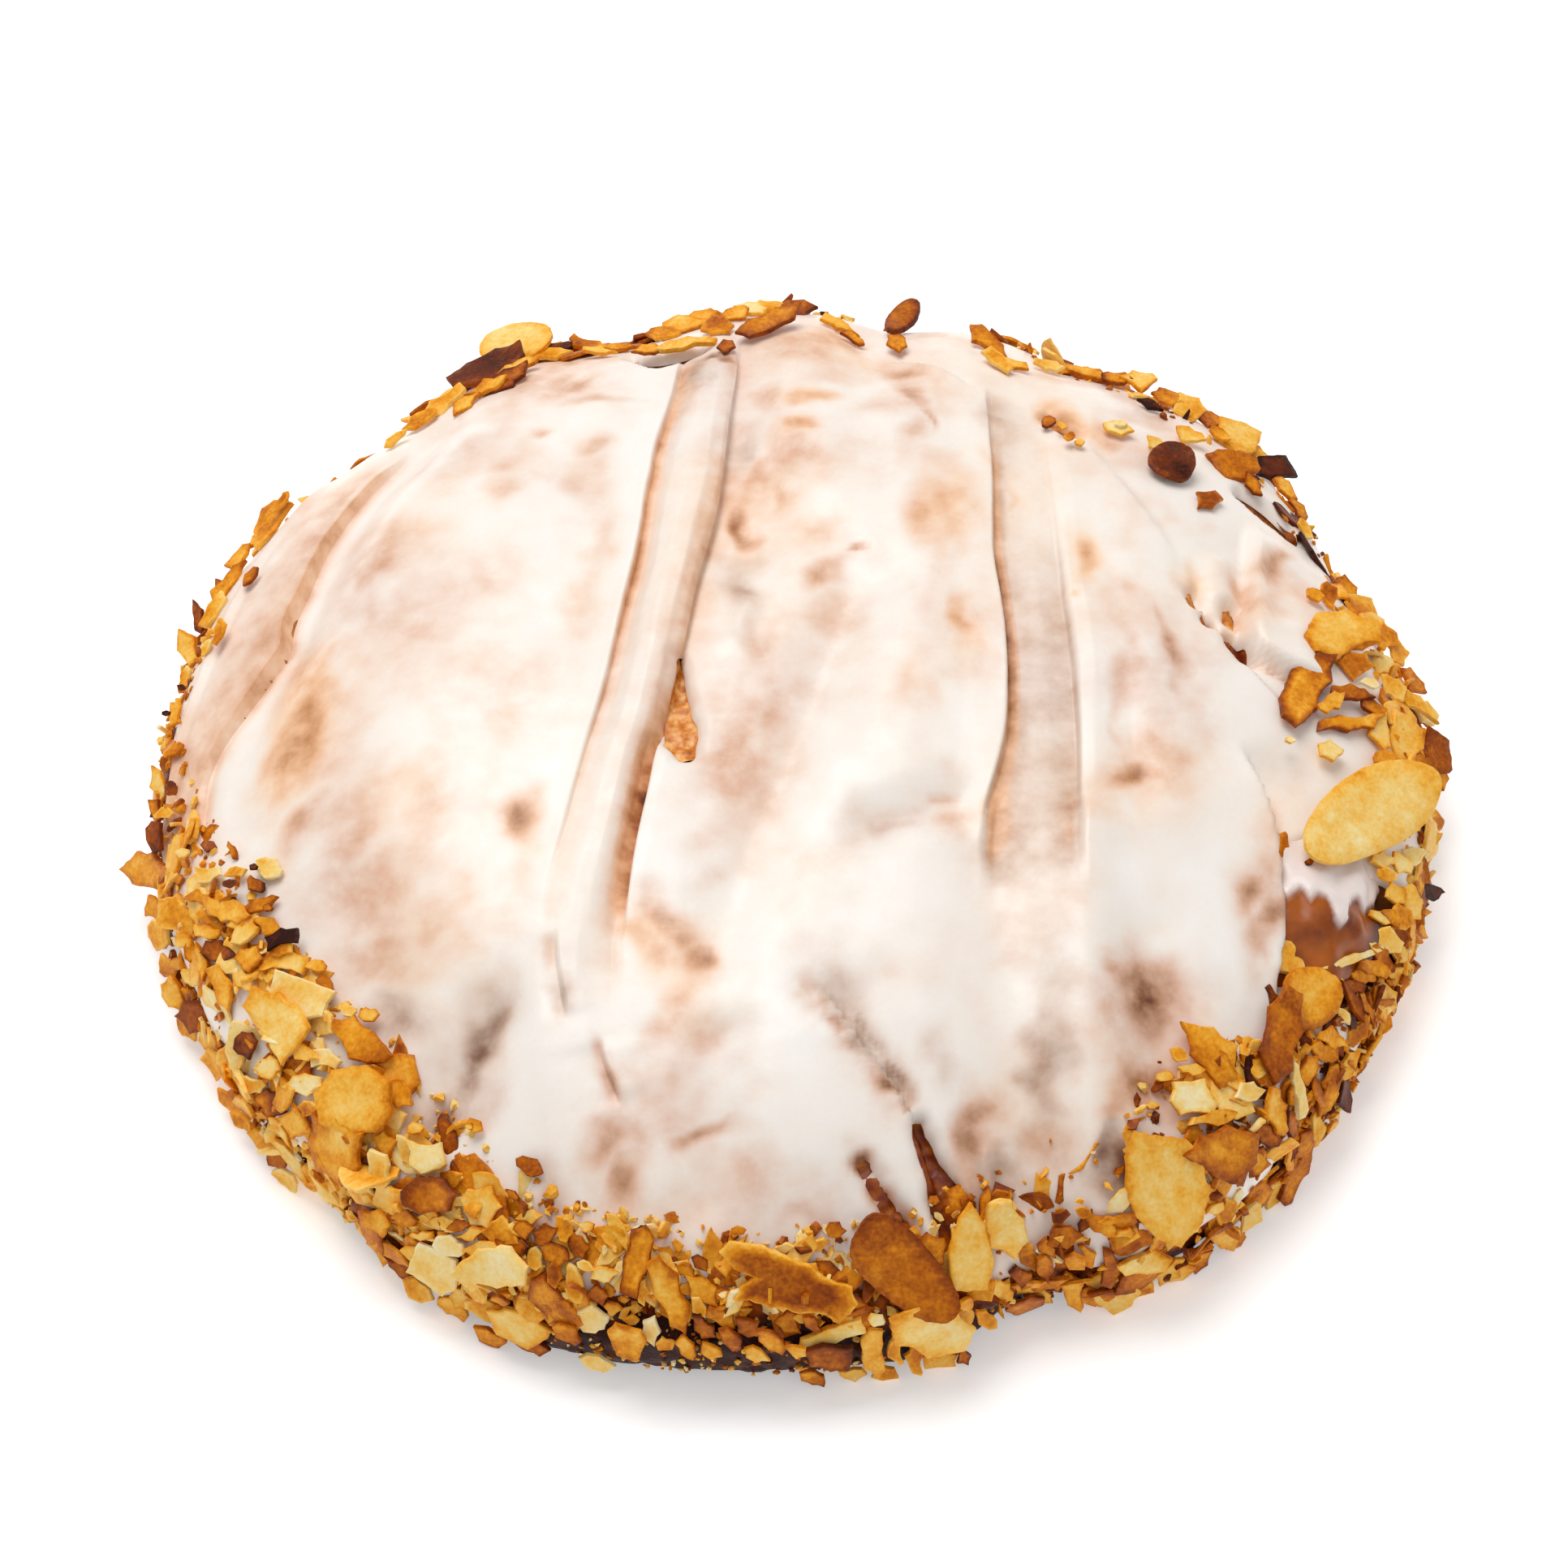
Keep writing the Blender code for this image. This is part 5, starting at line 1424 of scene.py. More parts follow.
def makeLargeSlices():
    for number, (name, row) in enumerate(largeSlices.items()):
        outline, toast, edgeToast, curl, thickness, smooth = row
        heap = Heap()
        rng = np.random.default_rng(100 + number)
        seenPiece(rng, heap, outline, 1.5, thickness, curl, toast, edgeToast, smooth, 24.0)
        heap.make("slice_" + name, materials["slice"], "almond_slice", ("flake_" + name,))


makeLargeSlices()
print("large slices made")


# Broken slices and bits placed one by one: x and y in the 1932 pixel view, length and
# width there, turn in degrees (clockwise), how toasted.
placedSlices = {
    "left": [
        (258, 1078, 35, 25, 10, 0.28), (332, 1070, 33, 28, 0, 0.22), (290, 1075, 30, 14, -10, 0.42),
        (280, 1122, 60, 32, 20, 0.35), (320, 1115, 50, 16, -20, 0.56), (245, 1105, 40, 18, 0, 0.5),
        (222, 1132, 60, 50, 60, 0.46), (272, 1172, 45, 27, 0, 0.68), (228, 1185, 25, 18, 0, 0.42),
        (352, 1187, 65, 32, -5, 0.3), (306, 1182, 35, 33, 0, 0.38), (275, 1218, 60, 24, 75, 0.42),
        (252, 1185, 50, 14, 80, 0.4), (370, 1228, 78, 55, 30, 0.24), (400, 1215, 30, 20, 80, 0.58),
        (390, 1190, 27, 16, 0, 0.4), (315, 1090, 24, 18, 20, 0.62), (287, 1048, 25, 10, 60, 0.58),
        (200, 1150, 40, 26, 70, 0.4), (206, 1190, 34, 22, 60, 0.55), (214, 1226, 50, 26, 65, 0.36),
        (236, 1232, 46, 22, 60, 0.62), (192, 1118, 34, 22, 80, 0.5), (230, 1160, 26, 18, 40, 0.3),
        (300, 1150, 40, 22, -30, 0.26), (330, 1142, 36, 24, 10, 0.4), (256, 1148, 34, 20, 10, 0.36),
        (300, 1208, 32, 22, 40, 0.3), (240, 1204, 28, 14, 50, 0.24), (346, 1168, 30, 20, -20, 0.48),
    ],
    "frontLeft": [
        (443, 1286, 84, 46, 42, 0.5), (415, 1415, 95, 66, 84, 0.37), (490, 1345, 50, 32, 40, 0.42),
        (402, 1305, 38, 26, 0, 0.16), (372, 1337, 50, 30, 0, 0.12), (332, 1315, 34, 30, 0, 0.22),
        (305, 1285, 42, 30, 70, 0.76), (250, 1248, 46, 40, 50, 0.7), (337, 1360, 42, 36, 30, 0.6),
        (293, 1325, 48, 12, 50, 0.2), (365, 1425, 70, 14, 50, 0.22), (465, 1440, 52, 30, 80, 0.28),
        (482, 1478, 42, 36, 20, 0.25), (524, 1426, 54, 44, 10, 0.12), (440, 1490, 24, 20, 0, 0.4),
        (465, 1502, 38, 28, 30, 0.42), (455, 1250, 26, 18, 0, 0.34), (366, 1385, 46, 34, 40, 0.34),
        (330, 1402, 44, 26, 45, 0.4), (286, 1352, 40, 24, 50, 0.56), (272, 1308, 44, 26, 60, 0.44),
        (316, 1338, 30, 24, 10, 0.34), (392, 1450, 44, 22, 40, 0.44), (356, 1462, 40, 18, 42, 0.3),
        (300, 1385, 44, 16, 48, 0.5), (262, 1280, 40, 20, 62, 0.3), (232, 1268, 36, 18, 60, 0.5),
        (420, 1352, 30, 22, 60, 0.24), (376, 1298, 36, 22, 20, 0.3), (340, 1430, 30, 20, 40, 0.58),
        (500, 1500, 34, 22, 0, 0.5), (428, 1245, 24, 16, 20, 0.3), (512, 1390, 22, 16, 0, 0.3),
        (478, 1408, 30, 24, 60, 0.42), (380, 1366, 26, 20, 0, 0.5), (442, 1462, 22, 14, 30, 0.34),
    ],
    "frontLeftLow": [
        (585, 1386, 22, 18, 60, 0.34), (653, 1437, 38, 24, 30, 0.64), (632, 1472, 22, 10, 45, 0.6),
        (597, 1487, 56, 46, 70, 0.22), (618, 1515, 30, 22, 20, 0.5), (646, 1516, 28, 24, 0, 0.52),
        (632, 1537, 42, 24, 0, 0.6), (582, 1520, 42, 18, -20, 0.36), (593, 1540, 46, 22, 0, 0.2),
        (555, 1535, 42, 26, 10, 0.08), (540, 1562, 66, 48, 25, 0.2), (520, 1522, 30, 12, 0, 0.3),
        (548, 1507, 40, 18, 20, 0.34), (565, 1510, 27, 16, 0, 0.56), (576, 1592, 34, 26, 30, 0.3),
        (680, 1605, 76, 34, 45, 0.52), (640, 1628, 86, 38, 25, 0.24), (600, 1606, 50, 26, 30, 0.4),
        (672, 1520, 34, 24, -40, 0.56), (694, 1514, 36, 22, 70, 0.48), (712, 1532, 40, 22, 60, 0.62),
        (684, 1545, 38, 26, 20, 0.5), (660, 1550, 30, 20, 80, 0.36), (683, 1570, 36, 18, 85, 0.64),
        (707, 1580, 52, 24, 80, 0.4), (722, 1560, 24, 12, 30, 0.34), (746, 1570, 36, 20, 0, 0.16),
        (792, 1590, 38, 18, 80, 0.4), (866, 1590, 60, 28, 35, 0.42), (728, 1625, 42, 34, 20, 0.14),
        (755, 1612, 24, 18, 0, 0.36), (778, 1626, 20, 12, 0, 0.38), (772, 1650, 50, 42, 10, 0.36),
        (802, 1640, 36, 24, 80, 0.2), (738, 1672, 46, 20, 20, 0.24), (515, 1590, 46, 26, 35, 0.44),
        (560, 1622, 44, 22, 30, 0.34), (496, 1558, 40, 22, 40, 0.58), (470, 1536, 44, 24, 42, 0.36),
        (604, 1650, 46, 18, 24, 0.46), (700, 1640, 40, 20, 20, 0.5), (660, 1652, 44, 16, 18, 0.62),
        (738, 1596, 26, 18, 40, 0.6), (650, 1580, 30, 22, 10, 0.3), (530, 1495, 24, 14, 30, 0.42),
        (610, 1560, 26, 14, 60, 0.2), (700, 1606, 26, 16, 20, 0.3), (722, 1512, 22, 14, 0, 0.3),
    ],
    "front": [
        (1149, 1543, 52, 38, 80, 0.46), (1238, 1516, 76, 50, 75, 0.2), (1235, 1488, 34, 24, 10, 0.08),
        (1268, 1550, 36, 24, 60, 0.62), (1288, 1562, 34, 22, 70, 0.56), (1256, 1572, 30, 22, 30, 0.66),
        (975, 1630, 36, 28, 35, 0.5), (1020, 1645, 96, 28, -25, 0.2), (1020, 1669, 62, 34, 0, 0.66),
        (1075, 1660, 62, 28, 85, 0.36), (1101, 1655, 40, 20, 85, 0.4), (1125, 1668, 38, 24, 80, 0.5),
        (1030, 1515, 27, 20, 0, 0.54), (890, 1622, 44, 26, 35, 0.46), (922, 1634, 40, 24, 30, 0.58),
        (948, 1650, 46, 22, 30, 0.42), (900, 1650, 38, 20, 40, 0.54), (866, 1636, 40, 22, 40, 0.6),
        (932, 1668, 36, 18, 20, 0.3), (980, 1662, 30, 18, 30, 0.4), (876, 1664, 30, 16, 30, 0.36),
        (846, 1658, 34, 20, 60, 0.3), (1000, 1690, 34, 18, 10, 0.48), (1050, 1690, 36, 16, 0, 0.3),
        (860, 1610, 30, 18, 60, 0.34), (1235, 1588, 36, 24, 30, 0.3), (1210, 1620, 34, 20, 40, 0.5),
        (1158, 1680, 44, 20, -10, 0.34), (960, 1608, 22, 12, 20, 0.3), (1000, 1630, 30, 16, 40, 0.56),
        (1180, 1655, 34, 20, 70, 0.56), (820, 1655, 24, 16, 0, 0.5), (1090, 1690, 34, 16, 0, 0.5),
        (910, 1516, 20, 12, 0, 0.5), (862, 1556, 26, 16, 30, 0.6), (1285, 1590, 26, 16, 40, 0.36),
    ],
    "frontRight": [
        (1492, 1290, 96, 52, 52, 0.42), (1470, 1352, 60, 46, 0, 0.1), (1468, 1318, 36, 16, 0, 0.3),
        (1500, 1377, 72, 22, -10, 0.36), (1545, 1312, 42, 22, 30, 0.42), (1540, 1345, 38, 25, 0, 0.22),
        (1530, 1358, 32, 10, 20, 0.3), (1572, 1368, 62, 28, 80, 0.36), (1597, 1340, 76, 16, 82, 0.18),
        (1575, 1290, 38, 14, 60, 0.4), (1540, 1470, 72, 30, -60, 0.52),
        (1590, 1435, 100, 30, -70, 0.52), (1560, 1400, 36, 24, 40, 0.64),
        (1584, 1412, 34, 22, 80, 0.66), (1600, 1396, 32, 20, 70, 0.58), (1500, 1525, 50, 40, 20, 0.4),
        (1355, 1508, 52, 24, 40, 0.52), (1307, 1500, 24, 20, 0, 0.82), (1312, 1524, 46, 28, 0, 0.56),
        (1367, 1560, 52, 30, 80, 0.64), (1366, 1580, 62, 52, 40, 0.25), (1408, 1553, 70, 27, -15, 0.22),
        (1322, 1582, 52, 30, 80, 0.34), (1372, 1608, 70, 18, 0, 0.36), (1340, 1545, 34, 20, 60, 0.5),
        (1440, 1560, 44, 24, -30, 0.36), (1476, 1552, 40, 22, -35, 0.52),
        (1450, 1584, 46, 20, -25, 0.3), (1506, 1490, 36, 24, -50, 0.5), (1520, 1440, 30, 22, -40, 0.3),
        (1400, 1590, 40, 22, -10, 0.5), (1340, 1602, 36, 18, 10, 0.5), (1548, 1430, 34, 22, -50, 0.42),
        (1616, 1390, 44, 20, -70, 0.34), (1630, 1352, 50, 20, -65, 0.5),
        (1610, 1318, 44, 22, -60, 0.42), (1560, 1330, 30, 20, 40, 0.6), (1520, 1330, 34, 22, 30, 0.3),
        (1436, 1326, 24, 14, 0, 0.3), (1540, 1500, 44, 24, -50, 0.3), (1570, 1470, 44, 22, -60, 0.36),
        (1480, 1436, 24, 14, 60, 0.3), (1520, 1545, 34, 18, -40, 0.5), (1290, 1540, 30, 20, 60, 0.5),
        (1386, 1520, 26, 16, 0, 0.34), (1452, 1300, 26, 16, 40, 0.46), (1420, 1362, 18, 10, 0, 0.3),
        (1334, 1494, 22, 14, 20, 0.6),
    ],
    "right": [
        (1665, 1182, 76, 12, -18, 0.12), (1590, 1184, 62, 38, 35, 0.34), (1582, 1255, 92, 18, 65, 0.7),
        (1755, 1035, 30, 26, 0, 0.34), (1735, 1112, 46, 25, 80, 0.26), (1700, 1222, 42, 30, 80, 0.26),
        (1665, 1232, 60, 14, 60, 0.64), (1680, 1240, 50, 12, 70, 0.5), (1640, 1280, 38, 24, 40, 0.42),
        (1670, 1270, 44, 22, -50, 0.56), (1700, 1180, 44, 20, 60, 0.6), (1720, 1150, 36, 20, 70, 0.64),
        (1745, 1072, 40, 22, 70, 0.6), (1722, 1196, 40, 18, -70, 0.42), (1690, 1262, 40, 20, -60, 0.3),
        (1656, 1310, 44, 20, -60, 0.34), (1628, 1296, 36, 24, 20, 0.5), (1652, 1252, 30, 18, 40, 0.22),
        (1712, 1130, 30, 16, 40, 0.5), (1676, 1204, 34, 18, 10, 0.44), (1640, 1330, 40, 22, -60, 0.6),
        (1584, 1062, 74, 18, 84, 0.6), (1768, 1010, 30, 18, 70, 0.5), (1742, 1140, 34, 18, 80, 0.42),
        (1716, 1102, 34, 24, 60, 0.3), (1726, 1128, 36, 22, 70, 0.52), (1708, 1160, 40, 26, 50, 0.34),
        (1690, 1192, 40, 22, 20, 0.5), (1640, 1206, 34, 20, 20, 0.44), (1662, 1216, 38, 18, 0, 0.62),
        (1738, 1090, 30, 20, 60, 0.28), (1722, 1066, 34, 22, 40, 0.16), (1708, 1078, 26, 18, 20, 0.36),
        (1738, 1056, 30, 24, 0, 0.2), (1700, 1130, 30, 14, 30, 0.2), (1702, 1060, 30, 22, 30, 0.16),
        (1694, 1168, 24, 12, 20, 0.16), (1720, 1174, 26, 20, 50, 0.2),
    ],
    "rightUpper": [
        (1640, 925, 32, 28, 0, 0.12), (1765, 925, 62, 40, 70, 0.68), (1728, 908, 68, 42, 75, 0.27),
        (1738, 870, 76, 22, 40, 0.4), (1697, 905, 46, 26, 80, 0.24), (1665, 892, 86, 24, -10, 0.42),
        (1652, 786, 84, 40, 12, 0.3), (1635, 740, 38, 24, 70, 0.6), (1670, 753, 46, 28, 20, 0.46),
        (1665, 824, 46, 38, 20, 0.56), (1700, 822, 28, 24, 0, 0.24), (1685, 843, 28, 12, 20, 0.12),
        (1667, 856, 56, 22, 10, 0.66), (1712, 850, 44, 24, 50, 0.36), (1700, 790, 40, 26, 40, 0.5),
        (1722, 800, 44, 20, 60, 0.4), (1655, 730, 40, 20, 50, 0.5), (1686, 768, 34, 18, 40, 0.3),
        (1740, 840, 44, 20, 60, 0.56), (1752, 880, 40, 22, 50, 0.3), (1706, 935, 30, 20, 0, 0.4),
        (1640, 868, 36, 22, -40, 0.34), (1618, 735, 24, 14, 30, 0.4), (1776, 960, 30, 16, 80, 0.5),
        (1690, 872, 34, 16, 30, 0.5), (1745, 940, 30, 20, 30, 0.6),
    ],
    "backRight": [
        (1105, 428, 28, 22, 20, 0.52), (1215, 428, 62, 24, 42, 0.56), (1228, 448, 44, 16, 40, 0.42),
        (1335, 462, 80, 12, 12, 0.4), (1400, 474, 47, 24, 15, 0.28), (1292, 522, 18, 15, 0, 0.6),
        (1317, 540, 15, 11, 0, 0.6), (1377, 531, 40, 17, 8, 0.14), (1416, 502, 36, 12, 30, 0.93),
        (1463, 510, 42, 30, 20, 0.4), (1428, 556, 44, 18, 40, 0.22), (1465, 540, 40, 20, 10, 0.28),
        (1517, 547, 60, 38, 30, 0.32), (1515, 577, 70, 40, 20, 0.55), (1567, 583, 54, 34, 15, 0.92),
        (1542, 600, 36, 16, 50, 0.56), (1538, 548, 16, 10, 0, 0.9), (1490, 617, 34, 22, 0, 0.68),
        (1440, 496, 50, 18, 20, 0.5), (1375, 470, 40, 14, 10, 0.55), (1486, 520, 40, 18, 30, 0.6),
        (1500, 540, 30, 14, 40, 0.42), (1580, 606, 40, 16, 50, 0.4), (1550, 566, 34, 16, 40, 0.36),
        (1308, 527, 14, 9, 30, 0.3), (1330, 546, 13, 9, 0, 0.3), (1596, 630, 34, 14, 50, 0.5),
        (1250, 452, 36, 12, 20, 0.36), (1290, 456, 40, 12, 10, 0.3), (1604, 655, 30, 12, 60, 0.34),
    ],
    "back": [
        (625, 472, 70, 24, -30, 0.66), (550, 503, 66, 24, -35, 0.38), (690, 431, 42, 13, 0, 0.86),
        (680, 442, 56, 13, 0, 0.42), (722, 427, 42, 14, 10, 0.58), (760, 434, 50, 9, 0, 0.45),
        (850, 406, 72, 24, -12, 0.35), (845, 427, 80, 14, -10, 0.3), (885, 406, 42, 24, 0, 0.56),
        (925, 387, 42, 15, 0, 0.14), (985, 387, 46, 20, 0, 0.7), (1035, 406, 54, 12, 28, 0.36),
        (895, 430, 24, 18, 0, 0.66), (600, 480, 60, 18, -30, 0.44), (520, 522, 50, 16, -35, 0.5),
        (576, 500, 44, 16, -34, 0.3), (800, 436, 44, 12, -8, 0.4), (820, 418, 44, 16, -10, 0.5),
        (868, 392, 40, 14, -12, 0.4), (905, 394, 40, 16, -8, 0.42), (950, 380, 44, 12, 4, 0.4),
        (640, 458, 56, 14, -20, 0.3), (740, 438, 44, 10, 4, 0.3), (1050, 420, 34, 10, 30, 0.5),
        (490, 545, 36, 10, -40, 0.4),
    ],
    "leftEdge": [
        (336, 648, 74, 28, -55, 0.5), (300, 690, 42, 16, -50, 0.4), (285, 720, 70, 18, -50, 0.46),
        (268, 755, 52, 16, -60, 0.4), (248, 762, 46, 14, 80, 0.66), (240, 803, 48, 26, 80, 0.3),
        (202, 970, 52, 20, 80, 0.26), (207, 1002, 24, 17, 0, 0.42), (196, 1032, 40, 20, 85, 0.7),
        (322, 665, 40, 12, -50, 0.36), (310, 712, 30, 12, -50, 0.56), (272, 780, 34, 12, -70, 0.5),
        (232, 838, 34, 12, -75, 0.42), (222, 880, 36, 12, -78, 0.36), (214, 925, 36, 10, -80, 0.46),
        (256, 800, 24, 10, -70, 0.3), (196, 1000, 30, 14, 80, 0.5), (346, 620, 34, 10, -50, 0.5),
    ],
    "onIcing": [
        (228, 1052, 17, 13, 0, 0.12), (1380, 525, 16, 8, 0, 0.16), (1590, 912, 14, 9, 0, 0.06),
        (348, 1156, 46, 25, -20, 1.0), (1755, 1099, 32, 22, 10, 0.97), (1153, 1603, 24, 17, 0, 0.1),
        (1080, 1626, 22, 16, 0, 0.02), (313, 1068, 10, 8, 0, 0.85), (285, 1089, 20, 11, 0, 0.85),
        (790, 1519, 22, 16, -60, 0.85), (1613, 1062, 10, 8, 0, 0.62), (330, 1118, 14, 10, 0, 0.6),
        (578, 1388, 10, 8, 0, 0.3), (200, 1064, 12, 8, 0, 0.8), (230, 850, 10, 8, 0, 0.9),
        (209, 880, 10, 7, 0, 0.9), (700, 1500, 14, 8, 0, 0.3), (1330, 1480, 12, 8, 0, 0.4),
    ],
}


def makePlacedSlices():
    rng = np.random.default_rng(11)
    heaps = {kind: Heap() for kind in toastKinds}
    for region, rows in placedSlices.items():
        for x, y, length, width, turn, toast in rows:
            corners = brokenCorners(rng, length, width, int(rng.integers(5, 9)))
            layer = 1.9 if region == "onIcing" else rng.uniform(0.7, 1.5)
            size = length / camera["pixelsPerMm"]
            thickness = float(np.clip(0.35 + 0.06 * size, 0.4, 0.8))
            seenPiece(rng, pickHeap(heaps, toast), turnedOutline(x, y, corners, turn), layer, thickness,
                      rng.uniform(-0.04, 0.09) * size, toast, rng.choice([-0.08, 0.06, 0.14]))
    makeHeaps(heaps, "placed_slices_", "almond_slice")


makePlacedSlices()
print("placed slices made")


# How the loose almonds vary round the rim: direction, toast, spread of toast, amount of
# slices and of crumbs (1 is well covered), typical length in mm.
rimZones = [
    (0, 0.4, 0.14, 0.6, 0.8, 5.5), (14, 0.42, 0.14, 0.5, 0.8, 5.5), (24, 0.48, 0.2, 0.3, 0.4, 5.0),
    (36, 0.52, 0.22, 0.4, 0.4, 5.5), (50, 0.5, 0.2, 0.5, 0.4, 5.5), (62, 0.45, 0.15, 0.4, 0.3, 5.5),
    (75, 0.5, 0.2, 0.4, 0.4, 5.5), (88, 0.5, 0.2, 0.6, 0.6, 6.5), (105, 0.45, 0.2, 0.6, 0.6, 7.5),
    (120, 0.42, 0.2, 0.5, 0.5, 7.0), (140, 0.42, 0.16, 0.3, 0.3, 6.0),
    (165, 0.46, 0.16, 0.25, 0.3, 5.0), (178, 0.44, 0.14, 0.4, 0.5, 5.0),
    (190, 0.42, 0.14, 0.8, 0.8, 5.0), (200, 0.38, 0.15, 1.0, 1.1, 5.0),
    (215, 0.34, 0.14, 1.0, 1.2, 5.5), (230, 0.34, 0.14, 1.0, 1.2, 5.5),
    (245, 0.36, 0.16, 1.0, 1.3, 4.6), (258, 0.42, 0.18, 0.7, 1.2, 4.4), (272, 0.4, 0.18, 0.5, 1.3, 4.4),
    (284, 0.4, 0.18, 0.5, 0.8, 4.8), (292, 0.46, 0.18, 0.3, 0.5, 4.4), (302, 0.46, 0.18, 0.9, 1.1, 5.0),
    (315, 0.48, 0.16, 1.1, 1.4, 5.0), (328, 0.5, 0.16, 1.1, 1.6, 4.4), (340, 0.5, 0.18, 0.9, 1.4, 4.2),
    (352, 0.42, 0.16, 0.6, 0.9, 5.0), (360, 0.4, 0.14, 0.6, 0.8, 5.5),
]
zoneTable = np.array(rimZones, float)
looseAlmonds = {"slices": 380, "shards": 1050, "crumbs": 2400, "footCrumbs": 260, "seed": 7}


def zone(degrees, column):
    return float(np.interp(degrees % 360.0, zoneTable[:, 0], zoneTable[:, column]))


def scatterPlaces(rng, count, column, spreadUp, bias):
    # Places round the rim, more of them where the zones say so.
    most = zoneTable[:, column].max()
    degrees, share = [], []
    while len(degrees) < count:
        direction = rng.uniform(0, 360)
        if rng.uniform(0, most) < zone(direction, column):
            degrees.append(direction)
            share.append(rng.uniform(0, 1) ** bias)
    degrees = np.array(degrees)
    lowest = rimLow(degrees) + footHeight(degrees)
    climbed = lowest + 0.5 + (rimReach(degrees) - lowest + spreadUp) * np.array(share)
    return degrees, np.maximum(climbed, 1.0)


def barePlaces(rng, count):
    # Places on the bare foot of the crust, under the heap.
    middle, spread, _ = rim["bareFoot"]
    degrees = rng.normal(middle, 0.7 * spread, count)
    return degrees, rimLow(degrees) + 1.0 + footHeight(degrees) * rng.uniform(0, 1, count)


def scatter(heaps, rng, places, makeShape, layer, tilt):
    degrees, climbed = places
    count = len(degrees)
    offsets = np.maximum(bedOffset(degrees, climbed), 0.2) + rng.uniform(layer[0], layer[1], count)
    centres, normals = surfaceAt(degrees, climbed, offsets)
    for index in range(count):
        shape, faces, browned = makeShape(rng, degrees[index])
        normal = normals[index]
        side = np.cross((0.0, 0.0, 1.0), normal)
        side /= np.linalg.norm(side) + 1e-9
        up = np.cross(normal, side)
        turn = rng.uniform(0, 360)
        lean = turnAbout(np.array([*rng.normal(0, 1, 2), 0.0]), min(80.0, abs(rng.normal(0, tilt))))
        local = shape @ (lean @ turnAbout(np.array([0.0, 0.0, 1.0]), turn)).T
        points = centres[index] + local[:, :1] * side + local[:, 1:2] * up + local[:, 2:] * normal
        toast = zone(degrees[index], 1) + zone(degrees[index], 2) * rng.normal(0, 1.0)
        toast = float(np.clip(toast, 0.08, 0.95))
        pickHeap(heaps, toast).add(points, faces, toast + browned)


def makeLooseAlmonds():
    rng = np.random.default_rng(looseAlmonds["seed"])
    slices, shards = {kind: Heap() for kind in toastKinds}, {kind: Heap() for kind in toastKinds}
    crumbs = Heap()
    crumbHeaps = dict.fromkeys(toastKinds, crumbs)

    def brokenSlice(rng, degrees):
        length = zone(degrees, 5) * rng.uniform(0.7, 1.5)
        corners = brokenCorners(rng, length, length * rng.uniform(0.3, 0.85), int(rng.integers(4, 8)))
        return sliceShape(rng, corners, rng.uniform(0.4, 0.7), rng.uniform(-0.3, 0.5),
                          rng.uniform(-0.08, 0.14))

    def shard(rng, degrees):
        length = float(np.clip(rng.lognormal(math.log(2.3), 0.42), 1.1, 5.5))
        corners = brokenCorners(rng, length, length * rng.uniform(0.2, 0.8), int(rng.integers(4, 7)))
        return sliceShape(rng, corners, rng.uniform(0.35, 0.6), rng.uniform(-0.1, 0.2),
                          rng.uniform(-0.1, 0.12), False, 1.3, (0.5,))

    def crumb(rng, degrees):
        return crumbShape(rng, float(np.clip(rng.lognormal(math.log(1.0), 0.4), 0.5, 2.2)))

    def fineCrumb(rng, degrees):
        return crumbShape(rng, float(np.clip(rng.lognormal(math.log(0.7), 0.35), 0.4, 1.3)))

    def places(kind, column, spreadUp, bias):
        return scatterPlaces(rng, looseAlmonds[kind], column, spreadUp, bias)

    scatter(crumbHeaps, rng, places("crumbs", 4, 0.4, 0.9), crumb, (0.1, 0.9), 40)
    scatter(shards, rng, places("shards", 4, -0.6, 0.9), shard, (0.1, 1.3), 34)
    scatter(slices, rng, places("slices", 3, -1.5, 0.85), brokenSlice, (0.2, 1.2), 20)
    scatter(crumbHeaps, rng, barePlaces(rng, looseAlmonds["footCrumbs"]), fineCrumb, (-0.1, 0.2), 40)
    makeHeaps(slices, "small_slices_", "almond_slice")
    makeHeaps(shards, "shards_", "almond_crumb")
    crumbs.make("loose_crumbs", materials["crumb"], "almond_crumb")


def makeBed():
    turns, rows = 620, 44
    degrees = np.tile(np.arange(turns) * 360.0 / turns, rows)
    share = np.repeat(np.linspace(0.0, 1.0, rows), turns)
    climbed = rimLow(degrees) + (rimReach(degrees) - rimLow(degrees)) * share
    here = domePoints(fromSlope(degrees, climbed))
    rough = 0.45 * softNoise(here, 1.3, 73) * ease(0.0, 0.1, share) * ease(1.0, 0.9, share)
    points, _ = surfaceAt(degrees, climbed, bedOffset(degrees, climbed) - 0.2 + rough)
    toast = 0.70 + 0.22 * softNoise(here, 2.0, 74) + 0.3 * ease(9.0, 2.5, points[:, 2])
    toast = toast + 0.35 * ease(0.5, 4.0, footHeight(degrees) + 3.0 - climbed + rimLow(degrees))
    return addPiece("almond_bed", points, gridFaces(rows, turns, wrap=True), materials["crumb"],
                    {"toast": np.clip(toast, 0, 1)}, ("almond_crust",))


makeBed()
makeLooseAlmonds()
print("almonds made")


# Floor, light and camera.
studio = {
    "floorColour": "#FAFAFA", "floorGlow": 0.34, "floorHalf": 4.0, "skyStrength": 0.44,
    "keyPower": 9.8, "keySize": 0.8, "keyPlace": (-0.22, 0.42, 1.08),
    "fillPower": 1.0, "fillSize": 0.9, "fillPlace": (0.5, -0.7, 0.8),
}


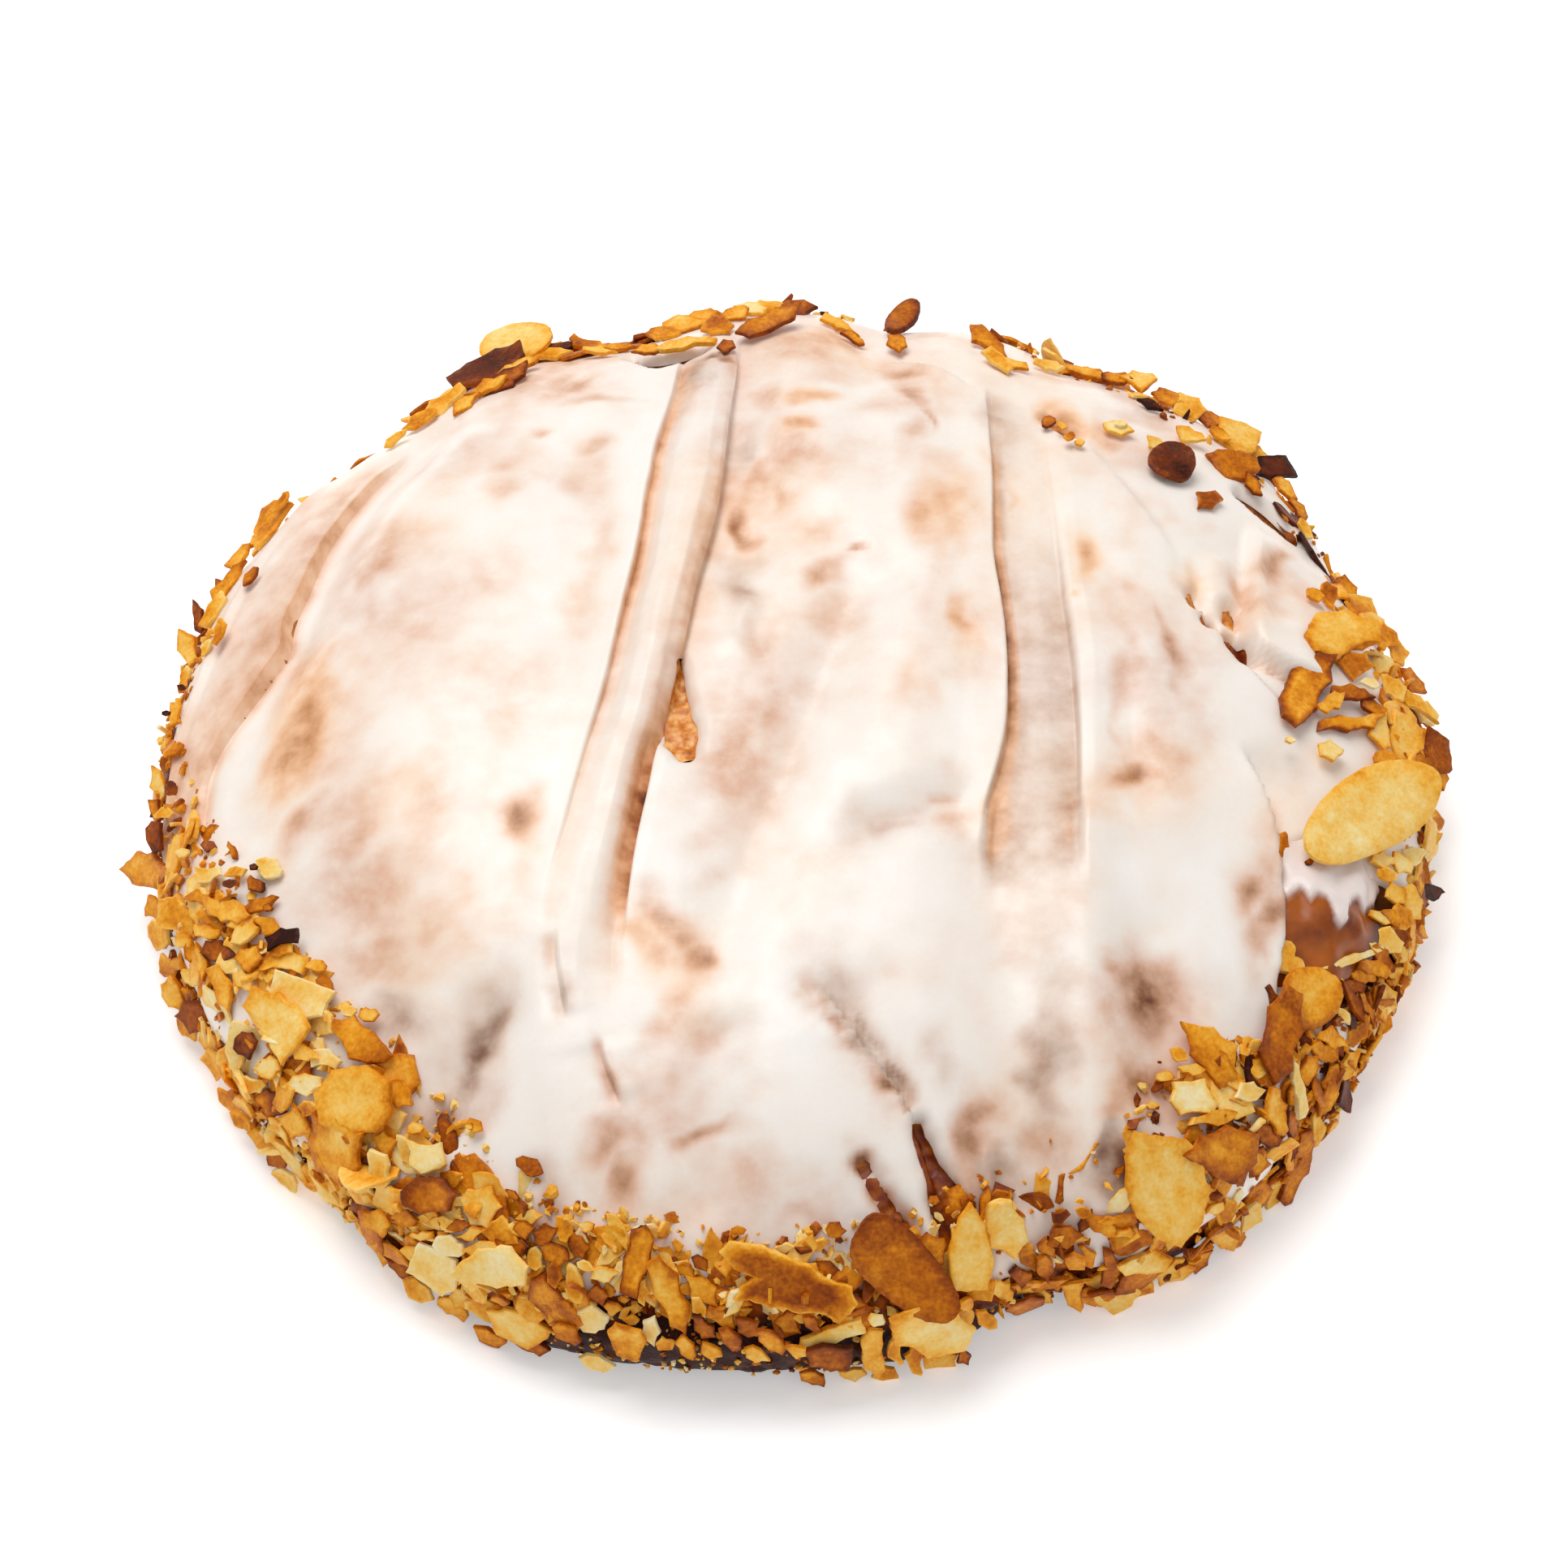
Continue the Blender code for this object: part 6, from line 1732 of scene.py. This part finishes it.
def makeFloor():
    material, _, _ = newMaterial("lit_white_perspex")
    colour = linear(studio["floorColour"])
    glow = studio["floorGlow"]
    finishMaterial(material, {"Base Color": colour, "Roughness": 0.9, "IOR": 1.3,
                              "Emission Color": colour, "Emission Strength": glow}, {})
    half = studio["floorHalf"]
    corners = [(-half, -half, 0), (half, -half, 0), (half, half, 0), (-half, half, 0)]
    mesh = bpy.data.meshes.new("floor")
    mesh.from_pydata(corners, [], [(0, 1, 2, 3)])
    mesh.materials.append(material)
    floor = bpy.data.objects.new("floor", mesh)
    bpy.context.scene.collection.objects.link(floor)


def makeLight(name, place, power, size):
    data = bpy.data.lights.new(name, "AREA")
    data.energy, data.size = power, size
    lamp = bpy.data.objects.new(name, data)
    lamp.location = place
    lamp.rotation_euler = (Vector((0, 0, 0.02)) - Vector(place)).to_track_quat("-Z", "Y").to_euler()
    bpy.context.scene.collection.objects.link(lamp)


def makeStudio():
    makeFloor()
    world = bpy.data.worlds.new("studio")
    bpy.context.scene.world = world
    world.use_nodes = True
    back = world.node_tree.nodes["Background"]
    back.inputs["Color"].default_value = (1.0, 1.0, 1.0, 1.0)
    back.inputs["Strength"].default_value = studio["skyStrength"]
    makeLight("key", studio["keyPlace"], studio["keyPower"], studio["keySize"])
    makeLight("fill", studio["fillPlace"], studio["fillPower"], studio["fillSize"])
    bpy.context.scene.view_settings.view_transform = "Standard"


def makeCamera():
    data = bpy.data.cameras.new("camera")
    data.sensor_width = camera["sensor"]
    data.lens = camera["pixelsPerMm"] * camera["distance"] / camera["imageWidth"] * camera["sensor"]
    data.clip_start, data.clip_end = 0.05, 20.0
    eye = bpy.data.objects.new("camera", data)
    tilt = math.radians(camera["elevation"])
    target = Vector(camera["target"]) + Vector(placing["shift"])
    back = Vector((0.0, -math.cos(tilt), math.sin(tilt)))
    eye.location = (target + back * camera["distance"]) * mm
    eye.rotation_euler = (-back).to_track_quat("-Z", "Y").to_euler()
    bpy.context.scene.collection.objects.link(eye)
    bpy.context.scene.camera = eye


makeStudio()
makeCamera()
print("studio made")

bpy.context.view_layer.update()
